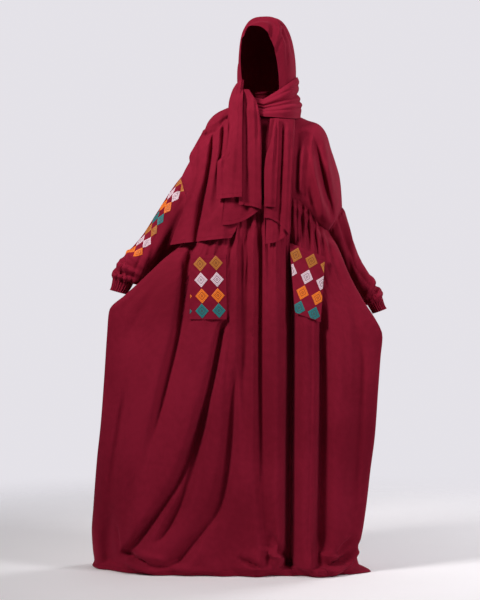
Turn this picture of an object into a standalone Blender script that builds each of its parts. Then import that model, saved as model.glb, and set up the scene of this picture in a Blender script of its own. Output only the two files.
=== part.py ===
"""Prayer dress with its wound head scarf, held open at both sides, as closed cloth pieces.

Metres. The front faces -Y and +Z is up. The origin lies between the shoulders, where the dress hangs
from. Left and right in the names are the wearer's, so the right side lies at -X.
"""

import math

import bpy
import numpy as np
from mathutils import Vector
from mathutils.bvhtree import BVHTree

# Overall sizes
WALL = 0.0015
SEAM_GAP = 0.0006
YOKE_DROP = 0.102
NECK_HALF = 0.098
GATHERS = 22
YOKE_ROWS = 10

# Materials: base colour, roughness
CREPE = (0.105, 0.008, 0.020, 1.0)
SCARF_CREPE = (0.120, 0.009, 0.023, 1.0)
PATCH = (0.300, 0.110, 0.080, 1.0)
CLOTH_ROUGHNESS = 0.75

# Right edge of the skirt from the underarm along the pulled-out edge to the pinch, then down to the floor.
# share of the way down, x, y, z
SKIRT_RIGHT_EDGE = (
    (0.00, -0.205, -0.030, -0.352),
    (0.02, -0.215, -0.034, -0.368),
    (0.07, -0.251, -0.072, -0.400),
    (0.12, -0.296, -0.092, -0.436),
    (0.17, -0.341, -0.100, -0.479),
    (0.22, -0.380, -0.102, -0.516),
    (0.27, -0.417, -0.102, -0.549),
    (0.34, -0.465, -0.100, -0.597),
    (0.40, -0.472, -0.095, -0.670),
    (0.50, -0.482, -0.080, -0.802),
    (0.61, -0.495, -0.055, -0.944),
    (0.69, -0.508, -0.035, -1.050),
    (0.80, -0.522, -0.002, -1.196),
    (0.89, -0.530, 0.025, -1.292),
    (0.94, -0.529, 0.048, -1.344),
    (0.97, -0.526, 0.062, -1.378),
    (1.00, -0.533, 0.072, -1.397),
)
SKIRT_LEFT_EDGE = (
    (0.00, 0.205, -0.030, -0.352),
    (0.02, 0.212, -0.034, -0.366),
    (0.07, 0.227, -0.072, -0.396),
    (0.12, 0.242, -0.092, -0.433),
    (0.17, 0.256, -0.100, -0.470),
    (0.22, 0.274, -0.103, -0.509),
    (0.27, 0.301, -0.104, -0.558),
    (0.34, 0.364, -0.100, -0.673),
    (0.40, 0.359, -0.097, -0.731),
    (0.50, 0.352, -0.090, -0.834),
    (0.61, 0.343, -0.080, -0.975),
    (0.69, 0.330, -0.070, -1.083),
    (0.80, 0.317, -0.060, -1.203),
    (0.89, 0.303, -0.050, -1.294),
    (0.94, 0.289, -0.045, -1.336),
    (0.97, 0.297, -0.042, -1.375),
    (1.00, 0.334, -0.038, -1.397),
)
# share of the way down, lift of the middle over the edges, front y, back y, back power, fullness of the tip
SKIRT_MIDDLE = (
    (0.00, 0.102, -0.135, 0.115, 0.55, 0.20),
    (0.07, 0.112, -0.141, 0.122, 0.80, 0.16),
    (0.12, 0.118, -0.145, 0.126, 1.10, 0.13),
    (0.22, 0.122, -0.150, 0.134, 1.70, 0.12),
    (0.34, 0.120, -0.152, 0.145, 1.60, 0.12),
    (0.50, 0.075, -0.150, 0.160, 1.10, 0.14),
    (0.69, 0.030, -0.142, 0.180, 0.80, 0.16),
    (0.89, 0.004, -0.130, 0.198, 0.60, 0.18),
    (0.97, 0.000, -0.123, 0.206, 0.55, 0.18),
    (1.00, 0.000, -0.114, 0.212, 0.55, 0.18),
)
SKIRT_ROWS = (0, 0.012, 0.05, 0.10, 0.16, 0.23, 0.31, 0.40, 0.50, 0.60, 0.70, 0.80, 0.89, 0.97, 1)
SEAM_END = 1 / 24
SEAM_RELEASE = 0.10
SIDE_PULL = 5.0
SIDE_PULL_END = 0.5
MIDDLE_ROUNDING = 0.02
SKIRT_SETTLE = 0.30
SIDE_ROOM = 0.06
FRONT_SQUARENESS = 3
FRONT_ROUNDING = 0.55
TIP_SQUARENESS = 10
HEM_CALM = 0.03
HEM_KEPT = 0.55
TIP_COLUMNS = (0.0, 0.0010, 0.005, 0.014, 0.030)
# share of the way down, depth of the gathers
GATHER_DEPTHS = ((0, 0.0), (0.012, 0.0016), (0.05, 0.0034), (0.10, 0.0036), (0.16, 0.0026), (0.34, 0.0))

# Height of the gathered seam under the front yoke, and how far forward it lies
# distance from the middle, height lost
SEAM_FALL = ((0.0, 0.0), (0.097, 0.008), (0.133, 0.034), (0.177, 0.088), (0.192, 0.098), (0.205, 0.102))

# Folds of the skirt front, positive into the skirt
# depth, half width at top and foot, height of top and foot, x at four even heights, fade at top and foot
FRONT_FOLDS = (
    (0.016, 0.014, 0.034, -0.405, -1.250, -0.221, -0.256, -0.325, -0.400, 0.04, 0.20),
    (0.024, 0.012, 0.026, -0.600, -1.375, -0.112, -0.166, -0.262, -0.430, 0.06, 0.04),
    (0.018, 0.012, 0.022, -0.840, -1.340, -0.155, -0.194, -0.246, -0.345, 0.12, 0.10),
    (0.022, 0.016, 0.034, -0.700, -1.380, -0.078, -0.092, -0.128, -0.270, 0.18, 0.02),
    (0.012, 0.010, 0.018, -0.780, -1.260, -0.405, -0.432, -0.456, -0.478, 0.14, 0.20),
    (0.040, 0.040, 0.050, -1.140, -1.390, -0.474, -0.472, -0.470, -0.468, 0.20, 0.0),
    (-0.010, 0.012, 0.030, -0.380, -1.300, -0.090, -0.092, -0.060, -0.040, 0.05, 0.20),
    (0.012, 0.008, 0.016, -0.360, -1.150, -0.062, -0.064, -0.058, -0.052, 0.05, 0.30),
    (-0.010, 0.010, 0.022, -0.340, -1.380, -0.034, -0.032, -0.026, -0.012, 0.05, 0.05),
    (0.012, 0.008, 0.018, -0.340, -1.380, -0.008, -0.010, -0.004, 0.014, 0.05, 0.04),
    (-0.014, 0.014, 0.026, -0.330, -1.380, 0.036, 0.038, 0.042, 0.050, 0.05, 0.02),
    (0.030, 0.018, 0.024, -0.330, -1.385, 0.086, 0.087, 0.084, 0.082, 0.12, 0.01),
    (-0.014, 0.024, 0.030, -0.500, -1.385, 0.128, 0.130, 0.128, 0.124, 0.15, 0.01),
    (0.018, 0.014, 0.022, -0.560, -1.385, 0.176, 0.180, 0.174, 0.166, 0.08, 0.01),
    (-0.010, 0.020, 0.030, -0.560, -1.385, 0.232, 0.234, 0.228, 0.222, 0.15, 0.01),
    (0.010, 0.014, 0.020, -0.640, -1.300, 0.300, 0.292, 0.280, 0.268, 0.15, 0.20),
)
# Folds of the skirt back, positive into the skirt, same columns
BACK_FOLDS = (
    (0.018, 0.014, 0.026, -0.420, -1.385, -0.150, -0.190, -0.260, -0.350, 0.05, 0.02),
    (0.022, 0.018, 0.028, -0.380, -1.385, -0.085, -0.110, -0.150, -0.200, 0.10, 0.02),
    (0.016, 0.020, 0.026, -0.360, -1.385, -0.032, -0.040, -0.060, -0.090, 0.20, 0.02),
    (0.018, 0.020, 0.026, -0.360, -1.385, 0.034, 0.040, 0.040, 0.034, 0.20, 0.02),
    (0.022, 0.018, 0.028, -0.380, -1.385, 0.085, 0.095, 0.105, 0.115, 0.10, 0.02),
    (0.018, 0.014, 0.026, -0.420, -1.385, 0.140, 0.160, 0.185, 0.210, 0.05, 0.02),
    (0.012, 0.014, 0.022, -0.700, -1.385, -0.330, -0.350, -0.390, -0.440, 0.15, 0.02),
)

# Upper edge of the front yoke, from the right armhole over the shoulder and round the neck
# x, y, z
FRONT_YOKE_TOP = (
    (-0.250, 0.020, -0.180),
    (-0.237, 0.016, -0.155),
    (-0.223, 0.012, -0.130),
    (-0.202, 0.006, -0.090),
    (-0.182, 0.002, -0.048),
    (-0.168, 0.000, -0.014),
    (-0.147, 0.000, 0.010),
    (-0.123, 0.000, 0.024),
    (-0.099, -0.004, 0.032),
    (-0.076, -0.054, 0.013),
    (-0.040, -0.086, 0.001),
    (0.004, -0.098, -0.002),
    (0.050, -0.088, -0.001),
    (0.084, -0.054, 0.003),
    (0.105, -0.004, 0.006),
    (0.142, 0.000, -0.008),
    (0.172, 0.000, -0.018),
    (0.190, 0.000, -0.034),
    (0.202, 0.000, -0.056),
    (0.214, 0.002, -0.097),
    (0.226, 0.004, -0.132),
    (0.241, 0.008, -0.183),
    (0.245, 0.011, -0.210),
    (0.248, 0.016, -0.244),
    (0.250, 0.020, -0.276),
)
# The same edge of the back yoke between the two neck points
BACK_NECK = (
    (-0.099, -0.004, 0.032),
    (-0.078, 0.058, 0.038),
    (-0.040, 0.090, 0.038),
    (0.004, 0.100, 0.040),
    (0.048, 0.090, 0.034),
    (0.086, 0.058, 0.022),
    (0.105, -0.004, 0.006),
)
UNDERARM_RIGHT = (-0.205, -0.030, -0.352)
UNDERARM_LEFT = (0.205, -0.030, -0.352)
UNDERARM_EASE = 0.004
ARMHOLE_FRONT_DEPTH = 0.045
ARMHOLE_BACK_DEPTH = 0.062
ARMHOLE_ROUNDING = 0.8
ARMHOLE_REACH = 0.30
YOKE_ROW_POWER = 1.5
# Distances over which the yoke's folds fade in from the armholes, the upper edge and the foot
YOKE_ROOM = (0.08, 0.12, 0.10)
# Folds of the front yoke, positive into the dress, same columns as the skirt
YOKE_FOLDS = (
    (-0.010, 0.009, 0.010, -0.080, -0.252, 0.126, 0.120, 0.116, 0.114, 0.05, 0.02),
    (-0.012, 0.010, 0.010, -0.110, -0.325, 0.146, 0.158, 0.170, 0.180, 0.06, 0.02),
    (0.010, 0.009, 0.009, -0.060, -0.300, 0.166, 0.178, 0.190, 0.196, 0.05, 0.06),
    (0.008, 0.008, 0.008, -0.050, -0.200, 0.140, 0.136, 0.138, 0.142, 0.04, 0.06),
    (-0.008, 0.009, 0.009, -0.080, -0.252, -0.124, -0.118, -0.114, -0.112, 0.05, 0.02),
    (0.008, 0.009, 0.009, -0.060, -0.300, -0.150, -0.166, -0.180, -0.190, 0.05, 0.06),
)

# Sleeve rings: x and z of the outer line, x and z of the inner line, y of the middle, half depth
RIGHT_SLEEVE = (
    (-0.251, -0.182, -0.207, -0.354, 0.010, 0.056),
    (-0.278, -0.218, -0.234, -0.378, 0.016, 0.060),
    (-0.324, -0.288, -0.275, -0.413, 0.016, 0.060),
    (-0.371, -0.362, -0.309, -0.443, 0.010, 0.056),
    (-0.402, -0.399, -0.335, -0.465, 0.000, 0.052),
    (-0.431, -0.429, -0.354, -0.483, -0.010, 0.048),
    (-0.450, -0.455, -0.369, -0.497, -0.018, 0.045),
    (-0.461, -0.484, -0.380, -0.508, -0.024, 0.040),
    (-0.460, -0.500, -0.398, -0.514, -0.026, 0.033),
)
LEFT_SLEEVE = (
    (0.251, -0.278, 0.207, -0.354, 0.010, 0.056),
    (0.258, -0.292, 0.212, -0.375, 0.020, 0.062),
    (0.267, -0.328, 0.222, -0.408, 0.026, 0.064),
    (0.281, -0.372, 0.236, -0.448, 0.026, 0.060),
    (0.301, -0.425, 0.258, -0.495, 0.022, 0.056),
    (0.325, -0.472, 0.288, -0.535, 0.014, 0.050),
    (0.350, -0.512, 0.306, -0.560, 0.004, 0.046),
    (0.369, -0.541, 0.312, -0.578, -0.004, 0.042),
    (0.373, -0.560, 0.327, -0.580, -0.010, 0.034),
)
# Cuff rings, same columns
RIGHT_CUFF = (
    (-0.4601, -0.5006, -0.3981, -0.5146, -0.026, 0.033),
    (-0.462, -0.513, -0.405, -0.527, -0.027, 0.029),
    (-0.464, -0.524, -0.412, -0.538, -0.028, 0.028),
    (-0.468, -0.533, -0.417, -0.547, -0.029, 0.030),
)
LEFT_CUFF = (
    (0.3731, -0.5606, 0.3271, -0.5806, -0.010, 0.034),
    (0.376, -0.572, 0.333, -0.590, -0.012, 0.029),
    (0.379, -0.582, 0.338, -0.598, -0.014, 0.028),
    (0.384, -0.590, 0.342, -0.606, -0.016, 0.030),
)
SLEEVE_COLUMNS = 22
SLEEVE_ROWS = 10
CUFF_ROWS = 4
SLEEVE_GATHER = 0.03
SLEEVE_WAVES = 11
SLEEVE_GATHER_REACH = 0.25
SLEEVE_PUFF = 0.02
PUFF_TURNS = 3
PUFF_SLANT = 5
RIGHT = -1
LEFT = 1

# Hoops of the hood, from the edge round the face over the head to the nape
# middle x y z, half width, right end x y z, left end x y z
HOOPS = (
    (-0.025, -0.088, 0.270, 0.063, -0.056, -0.074, 0.058, 0.050, -0.080, 0.070),
    (-0.006, -0.068, 0.289, 0.080, -0.062, -0.060, 0.052, 0.078, -0.064, 0.066),
    (0.002, -0.036, 0.3055, 0.088, -0.068, -0.040, 0.049, 0.094, -0.044, 0.064),
    (0.009, 0.004, 0.3125, 0.092, -0.072, -0.016, 0.046, 0.104, -0.020, 0.062),
    (0.014, 0.044, 0.306, 0.094, -0.072, 0.010, 0.048, 0.106, 0.010, 0.060),
    (0.019, 0.082, 0.282, 0.090, -0.066, 0.034, 0.052, 0.100, 0.034, 0.061),
    (0.022, 0.110, 0.236, 0.083, -0.056, 0.054, 0.058, 0.088, 0.054, 0.064),
    (0.024, 0.118, 0.182, 0.075, -0.043, 0.068, 0.066, 0.075, 0.069, 0.070),
    (0.024, 0.112, 0.132, 0.064, -0.029, 0.078, 0.071, 0.060, 0.079, 0.073),
    (0.023, 0.104, 0.098, 0.050, -0.014, 0.086, 0.074, 0.044, 0.086, 0.075),
)
# share of the way from the face to the nape, squareness of the hoop
HOOP_SQUARENESS = ((0.0, 0.80), (0.11, 0.66), (1.0, 0.66))
HOOP_WIDENING = 0.5
HOOP_SWEEP = 1.2
HOOD_ROWS = 12
HOOD_COLUMNS = 17

# Upper and lower edge of the stretch round the neck, from the front round by the left
# turn in degrees, x, y, z of the upper edge, x, y, z of the lower edge
NECK_WRAP = (
    (0, 0.002, -0.096, 0.046, 0.006, -0.132, -0.012),
    (25, 0.046, -0.092, 0.072, 0.056, -0.122, -0.013),
    (55, 0.091, -0.066, 0.104, 0.098, -0.082, -0.008),
    (90, 0.1135, -0.008, 0.126, 0.119, -0.018, 0.007),
    (130, 0.109, 0.080, 0.128, 0.113, 0.076, 0.024),
    (180, 0.020, 0.132, 0.122, 0.010, 0.134, 0.040),
    (230, -0.062, 0.084, 0.110, -0.078, 0.084, 0.044),
    (270, -0.083, 0.004, 0.092, -0.096, 0.000, 0.048),
    (305, -0.076, -0.070, 0.072, -0.080, -0.078, 0.030),
    (335, -0.038, -0.096, 0.054, -0.040, -0.118, -0.002),
    (360, 0.002, -0.096, 0.046, 0.006, -0.132, -0.012),
)
WRAP_COLUMNS = 24
WRAP_ROWS = 6
WRAP_FOLD = 0.005
WRAP_WAVES = 3
WRAP_BULGE = 0.006
NECK_CENTRE = (0.012, 0.008, 0.0)
RIM_SAMPLES = 400

# Scarf ends and drape as they lie on what is beneath them
# share of the way down, x of the right side, z of the right side, x of the left side, z of the left side
DRAPE_OUTLINE = (
    (0.00, -0.181, -0.046, -0.088, 0.012),
    (0.12, -0.203, -0.088, -0.084, -0.040),
    (0.25, -0.223, -0.130, -0.080, -0.095),
    (0.42, -0.212, -0.184, -0.074, -0.160),
    (0.58, -0.226, -0.236, -0.070, -0.225),
    (0.72, -0.238, -0.284, -0.070, -0.285),
    (0.88, -0.266, -0.352, -0.078, -0.345),
    (1.00, -0.282, -0.396, -0.094, -0.378),
)
BREAST_RIGHT_FRONT = (
    (0.00, -0.080, 0.096, -0.056, 0.104),
    (0.07, -0.092, 0.074, -0.058, 0.080),
    (0.18, -0.103, 0.030, -0.060, 0.034),
    (0.30, -0.105, -0.022, -0.061, -0.018),
    (0.45, -0.105, -0.075, -0.062, -0.070),
    (0.60, -0.113, -0.125, -0.062, -0.125),
    (0.68, -0.136, -0.152, -0.062, -0.150),
    (1.00, -0.139, -0.262, -0.062, -0.256),
)
# share of the way down, x of the open edge, x of the folded edge, x of the hidden open edge
BREAST_RIGHT_BACK = (
    (0.00, -0.066, -0.040, -0.070),
    (0.12, -0.066, -0.016, -0.076),
    (0.30, -0.066, -0.006, -0.085),
    (0.55, -0.068, -0.003, -0.100),
    (1.00, -0.072, -0.002, -0.122),
)
BREAST_RIGHT_BACK_TOP_Z = 0.072
BREAST_RIGHT_BACK_HEMS = (-0.280, -0.292, -0.340)
BREAST_LEFT_FRONT = (
    (0.00, 0.036, -0.018, 0.048, -0.018),
    (0.25, 0.024, -0.088, 0.047, -0.088),
    (0.45, 0.008, -0.140, 0.046, -0.140),
    (0.65, 0.004, -0.190, 0.043, -0.190),
    (1.00, 0.004, -0.285, 0.038, -0.288),
)
BREAST_LEFT_BACK = (
    (0.00, 0.022, 0.098, 0.034),
    (0.25, 0.016, 0.095, 0.028),
    (0.60, 0.006, 0.087, 0.014),
    (1.00, 0.003, 0.082, 0.008),
)
BREAST_LEFT_BACK_TOP_Z = -0.018
BREAST_LEFT_BACK_HEMS = (-0.318, -0.366, -0.396)
LAYER_GAP = 0.003
CONTACT_GAP = 0.0006
TURN_RADIUS = 0.006
LAYER_REACH = 0.010
LAYER_ROUNDS = 12
REACH_SAMPLES = 5
EDGE_SAMPLES = (0.25, 0.5, 0.75)

# Folds of the scarf pieces, positive towards the viewer
# height, half width at top and foot, height of top and foot, x at four even heights, fade at top and foot
DRAPE_FOLDS = (
    (0.016, 0.010, 0.018, -0.060, -0.400, -0.165, -0.178, -0.205, -0.228, 0.04, 0.0),
    (0.014, 0.008, 0.016, -0.020, -0.400, -0.128, -0.140, -0.160, -0.170, 0.03, 0.0),
    (0.010, 0.008, 0.014, -0.060, -0.400, -0.200, -0.206, -0.236, -0.262, 0.04, 0.0),
    (0.012, 0.010, 0.016, -0.020, -0.400, -0.104, -0.110, -0.118, -0.122, 0.03, 0.0),
)
RIGHT_FRONT_FOLDS = (
    (0.010, 0.008, 0.014, 0.060, -0.262, -0.080, -0.084, -0.090, -0.096, 0.03, 0.0),
    (0.006, 0.006, 0.010, -0.120, -0.262, -0.122, -0.126, -0.128, -0.128, 0.04, 0.0),
)
RIGHT_BACK_FOLDS = (
    (0.006, 0.006, 0.010, 0.060, -0.340, -0.030, -0.026, -0.026, -0.028, 0.04, 0.0),
)
LEFT_FRONT_FOLDS = (
    (0.007, 0.006, 0.010, -0.020, -0.290, 0.040, 0.032, 0.024, 0.022, 0.04, 0.0),
)
LEFT_BACK_FOLDS = (
    (0.009, 0.007, 0.012, -0.020, -0.400, 0.078, 0.074, 0.068, 0.062, 0.04, 0.0),
)

# Pocket corners as x and z: top right, top left, foot right, foot left of the wearer
RIGHT_POCKET = ((-0.216, -0.430), (-0.110, -0.428), (-0.220, -0.622), (-0.108, -0.622))
LEFT_POCKET = ((0.080, -0.392), (0.188, -0.436), (0.096, -0.603), (0.173, -0.630))
POCKET_REACH = 0.012

# Rows and columns of the pieces that lie on others. A turned end has this many columns in each layer
POCKET_GRID = (9, 8)
DRAPE_GRID = (12, 13)
RIGHT_FRONT_GRID = (11, 6)
RIGHT_BACK_GRID = (11, 5)
LEFT_FRONT_GRID = (9, 5)
LEFT_BACK_GRID = (10, 5)
TURN_STEPS = 5
SHARP_ANGLE = 60

FRONT = Vector((0.0, 1.0, 0.0))
ACROSS = (0.0, 1.0, 0.0)
UPWARD = (0.0, 0.0, 1.0)
VIEW_Y = -1.0


def through(table, stations):
    """Smooth values of the other columns of a table at stations of its first column, never past a row."""
    rows = np.array(table, float)
    at, values = rows[:, 0], rows[:, 1:]
    stations = np.clip(np.asarray(stations, float), at[0], at[-1])
    step = np.diff(at)[:, None]
    slope = np.diff(values, axis=0) / step
    tangent = np.zeros_like(values)
    same_way = slope[:-1] * slope[1:] > 0
    total = slope[:-1] + slope[1:]
    tangent[1:-1] = np.where(same_way, 2 * slope[:-1] * slope[1:] / np.where(same_way, total, 1), 0)
    tangent[0], tangent[-1] = slope[0], slope[-1]
    k = np.clip(np.searchsorted(at, stations, side="right") - 1, 0, len(at) - 2)
    u = ((stations - at[k]) / np.diff(at)[k])[..., None]
    width = np.diff(at)[k][..., None]
    return (
        values[k] * (1 + 2 * u) * (1 - u) ** 2
        + tangent[k] * width * u * (1 - u) ** 2
        + values[k + 1] * u * u * (3 - 2 * u)
        + tangent[k + 1] * width * u * u * (u - 1)
    )


def evenly(rows, stations):
    """Smooth values of a table whose rows stand at even shares from 0 to 1."""
    return through(np.c_[np.linspace(0, 1, len(rows)), np.array(rows)], stations)


def ease(value):
    value = np.clip(value, 0, 1)
    return value * value * (3 - 2 * value)


def fold_field(folds, x, z):
    """Sum of the folds of a table at positions x, z."""
    total = np.zeros_like(x)
    for depth, width_top, width_foot, top, foot, a, b, c, d, fade_top, fade_foot in folds:
        share = np.clip((top - z) / (top - foot), 0, 1)
        middle = through(((0, a), (1 / 3, b), (2 / 3, c), (1, d)), share)[..., 0]
        width = width_top + (width_foot - width_top) * share
        here = np.exp(-(((x - middle) / width) ** 2))
        starts = ease((top - z) / fade_top) if fade_top else 1.0
        ends = ease((z - foot) / fade_foot) if fade_foot else 1.0
        total = total + depth * here * starts * ends
    return total


def outward(grid, ring=False, seams=()):
    """Unit normals of a grid of points, to the side from which its columns run left to right.

    Along each seam, a pair of a mask of points and a direction, the normal is kept square to the
    direction, so that the walls of the two panels meet squarely there.
    """
    wide = np.concatenate([grid[:, -1:], grid, grid[:, :1]], axis=1) if ring else grid
    across = np.diff(wide, axis=1)
    down = np.diff(wide, axis=0)
    normal = np.zeros_like(wide)
    for row, column in ((0, 0), (0, 1), (1, 0), (1, 1)):
        # Each cell adds the normal that it has at each of its four corners.
        sides = across[row : row + len(down)]
        falls = down[:, column : column + across.shape[1]]
        corner = np.cross(falls, sides)
        normal[row : row + len(down), column : column + across.shape[1]] += corner
    if ring:
        normal = normal[:, 1:-1]
    for mask, direction in seams:
        direction = np.array(direction, float)
        normal[mask] -= (normal[mask] @ direction)[:, None] * direction
    return normal / np.maximum(np.linalg.norm(normal, axis=2, keepdims=True), 1e-12)


def cloth(name, grid, colour, ring=False, seams=(), first=None):
    """A closed wall of even thickness whose outer face is the grid. Its first row may take given normals."""
    rows, columns = grid.shape[:2]
    normal = outward(grid, ring, seams)
    if first is not None:
        normal[0] = first
    inner = grid - normal * WALL
    count = rows * columns
    points = np.concatenate([grid.reshape(-1, 3), inner.reshape(-1, 3)])
    index = np.arange(count).reshape(rows, columns)
    steps = columns if ring else columns - 1
    faces = []
    rims = []
    for r in range(rows - 1):
        for c in range(steps):
            d = (c + 1) % columns
            a, b, e, f = index[r, c], index[r + 1, c], index[r + 1, d], index[r, d]
            if np.linalg.norm(points[a] - points[e]) <= np.linalg.norm(points[b] - points[f]):
                halves = ((a, b, e), (a, e, f))
            else:
                halves = ((a, b, f), (b, e, f))
            for half in halves:
                faces.append(half)
                faces.append([i + count for i in reversed(half)])
    for c in range(steps):
        d = (c + 1) % columns
        rims.append((index[0, d], index[0, c]))
        rims.append((index[-1, c], index[-1, d]))
    if not ring:
        for r in range(rows - 1):
            rims.append((index[r, 0], index[r + 1, 0]))
            rims.append((index[r + 1, -1], index[r, -1]))
    for start, end in rims:
        faces.append((end, start, start + count))
        faces.append((end, start + count, end + count))
    mesh = bpy.data.meshes.new(name)
    mesh.from_pydata([tuple(p) for p in points], [], [[int(i) for i in face] for face in faces])
    mesh.update()
    thing = bpy.data.objects.new(name, mesh)
    bpy.context.scene.collection.objects.link(thing)
    material = bpy.data.materials.new(name)
    material.use_nodes = True
    shader = material.node_tree.nodes["Principled BSDF"]
    shader.inputs["Base Color"].default_value = colour
    shader.inputs["Roughness"].default_value = CLOTH_ROUGHNESS
    shader.inputs["Metallic"].default_value = 0.0
    mesh.materials.append(material)
    mesh.shade_smooth()
    mesh.set_sharp_from_angle(angle=math.radians(SHARP_ANGLE))


def surface(grid, ring=False):
    """Search tree over the faces of a grid, with points spread over it."""
    rows, columns = grid.shape[:2]
    index = np.arange(rows * columns).reshape(rows, columns)
    points = grid.reshape(-1, 3)
    faces = []
    for r in range(rows - 1):
        for c in range(columns if ring else columns - 1):
            d = (c + 1) % columns
            corners = [int(i) for i in (index[r, c], index[r + 1, c], index[r + 1, d], index[r, d])]
            if np.linalg.norm(points[corners[0]] - points[corners[2]]) <= np.linalg.norm(
                points[corners[1]] - points[corners[3]]
            ):
                faces += [[corners[0], corners[1], corners[2]], [corners[0], corners[2], corners[3]]]
            else:
                faces += [[corners[0], corners[1], corners[3]], [corners[1], corners[2], corners[3]]]
    corners = points[np.array(faces)]
    samples = [points, corners.mean(axis=1)]
    for part in EDGE_SAMPLES:
        samples.append((corners * (1 - part) + np.roll(corners, 1, axis=1) * part).reshape(-1, 3))
    return BVHTree.FromPolygons([tuple(p) for p in points], faces), np.concatenate(samples)


def resting(x, z, beneath, gap, reach=LAYER_REACH):
    """Forward positions y of cloth that lies on the surfaces beneath it and spans their hollows."""
    y = np.zeros_like(x)
    for place in np.ndindex(x.shape):
        for side in np.linspace(-reach, reach, REACH_SAMPLES):
            for rise in np.linspace(-reach, reach, REACH_SAMPLES):
                start = Vector((x[place] + side, VIEW_Y, z[place] + rise))
                for tree, _ in beneath:
                    hit = tree.ray_cast(start, FRONT)[0]
                    if hit is not None:
                        y[place] = min(y[place], hit.y)
    y = y - gap
    for _ in range(LAYER_ROUNDS):
        padded = np.pad(y, 1, mode="edge")
        mean = (padded[:-2, 1:-1] + padded[2:, 1:-1] + padded[1:-1, :-2] + padded[1:-1, 2:]) / 4
        y = np.minimum(y, mean)
    return y


def seated(grid, beneath):
    """The grid moved back until it all but touches what is beneath it."""
    room = np.inf
    for face in (grid, grid - outward(grid) * WALL):
        own, samples = surface(face)
        for start in samples:
            for tree, _ in beneath:
                hit = tree.ray_cast(Vector(start), FRONT)[0]
                if hit is not None:
                    room = min(room, hit.y - start[1])
        low, high = face.reshape(-1, 3).min(axis=0), face.reshape(-1, 3).max(axis=0)
        for _, points in beneath:
            inside = np.all((points[:, [0, 2]] > low[[0, 2]]) & (points[:, [0, 2]] < high[[0, 2]]), axis=1)
            for start in points[inside]:
                hit = own.ray_cast(Vector(start), -FRONT)[0]
                if hit is not None:
                    room = min(room, start[1] - hit.y)
    return grid + np.array((0.0, room - CONTACT_GAP, 0.0))


def skirt_columns():
    """Shares of the way across, close together at both edges and two to a gather between them."""
    middle = np.linspace(SEAM_END, 1 - SEAM_END, 2 * GATHERS + 1)
    ends = np.array(TIP_COLUMNS)
    return np.concatenate([ends, middle, 1 - ends[::-1]])


def skirt(folds, front, seam_line):
    """Grid of one skirt panel, its columns running from the right edge to the left one."""
    down, across = np.meshgrid(SKIRT_ROWS, skirt_columns(), indexing="ij")
    right = through(SKIRT_RIGHT_EDGE, down)
    left = through(SKIRT_LEFT_EDGE, down)
    lift, front_y, back_y, power, tip = np.moveaxis(through(SKIRT_MIDDLE, down), -1, 0)
    x, edge_y, edge_z = np.moveaxis(right + (left - right) * across[..., None], -1, 0)
    q = np.clip(np.abs(2 * across - 1), 0, 1)
    # High up the middle hangs straight down from the seam, and only the sides are drawn out.
    drawn = np.clip(np.hypot(q, MIDDLE_ROUNDING), 0, 1) ** (SIDE_PULL * (1 - ease(down / SIDE_PULL_END)))
    x = x[0] * (1 - drawn) + x * drawn
    fall = through(SEAM_FALL, np.abs(x))[..., 0] / SEAM_FALL[-1][1]
    settle = ease(down / SKIRT_SETTLE)
    rise = (1 - fall) * (1 - settle) + (1 - q**2) * settle
    z = edge_z + lift * rise
    if front:
        shape = (1 - q**FRONT_SQUARENESS) ** FRONT_ROUNDING
        y = edge_y - (edge_y - front_y) * shape
    else:
        shape = tip * np.sqrt(1 - q**TIP_SQUARENESS) + (1 - tip) * (1 - q**2) ** power
        y = edge_y + (back_y - edge_y) * shape
    foot_y = np.interp(x[0], seam_line[:, 0], seam_line[:, 1])
    released = ease(down / SEAM_RELEASE)
    y = edge_y + (foot_y - edge_y[0]) * (1 - released) + (y - edge_y) * released
    room = ease(np.minimum(across, 1 - across) / SIDE_ROOM)
    wave = np.cos(2 * np.pi * GATHERS * (across - SEAM_END) / (1 - 2 * SEAM_END))
    size = through(GATHER_DEPTHS, down)[..., 0]
    inwards = (fold_field(folds, x, z) + size * wave) * room
    inwards = inwards * (HEM_KEPT + (1 - HEM_KEPT) * ease((1 - down) / HEM_CALM))
    y = y + inwards if front else y - inwards
    y = y + (-SEAM_GAP / 2 if front else SEAM_GAP / 2)
    y[0] = foot_y
    z[0] = np.interp(x[0], seam_line[:, 0], seam_line[:, 2]) - SEAM_GAP
    return np.stack([x, y, z], axis=-1)


def square_to(ends, side):
    """Unit direction out of an armhole between two given points, along the sleeve."""
    line = np.array(ends[1]) - np.array(ends[0])
    out = np.cross(line, (0.0, side, 0.0))
    return out / np.linalg.norm(out)


def armhole(top, underarm, share, depth):
    """Half of an armhole from its top to the underarm, bowed forwards or back by depth."""
    top, underarm = np.array(top), np.array(underarm)
    line = top + (underarm - top) * share[..., None]
    line[..., 1] += depth * np.sin(np.pi * share) ** ARMHOLE_ROUNDING
    return line


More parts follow.
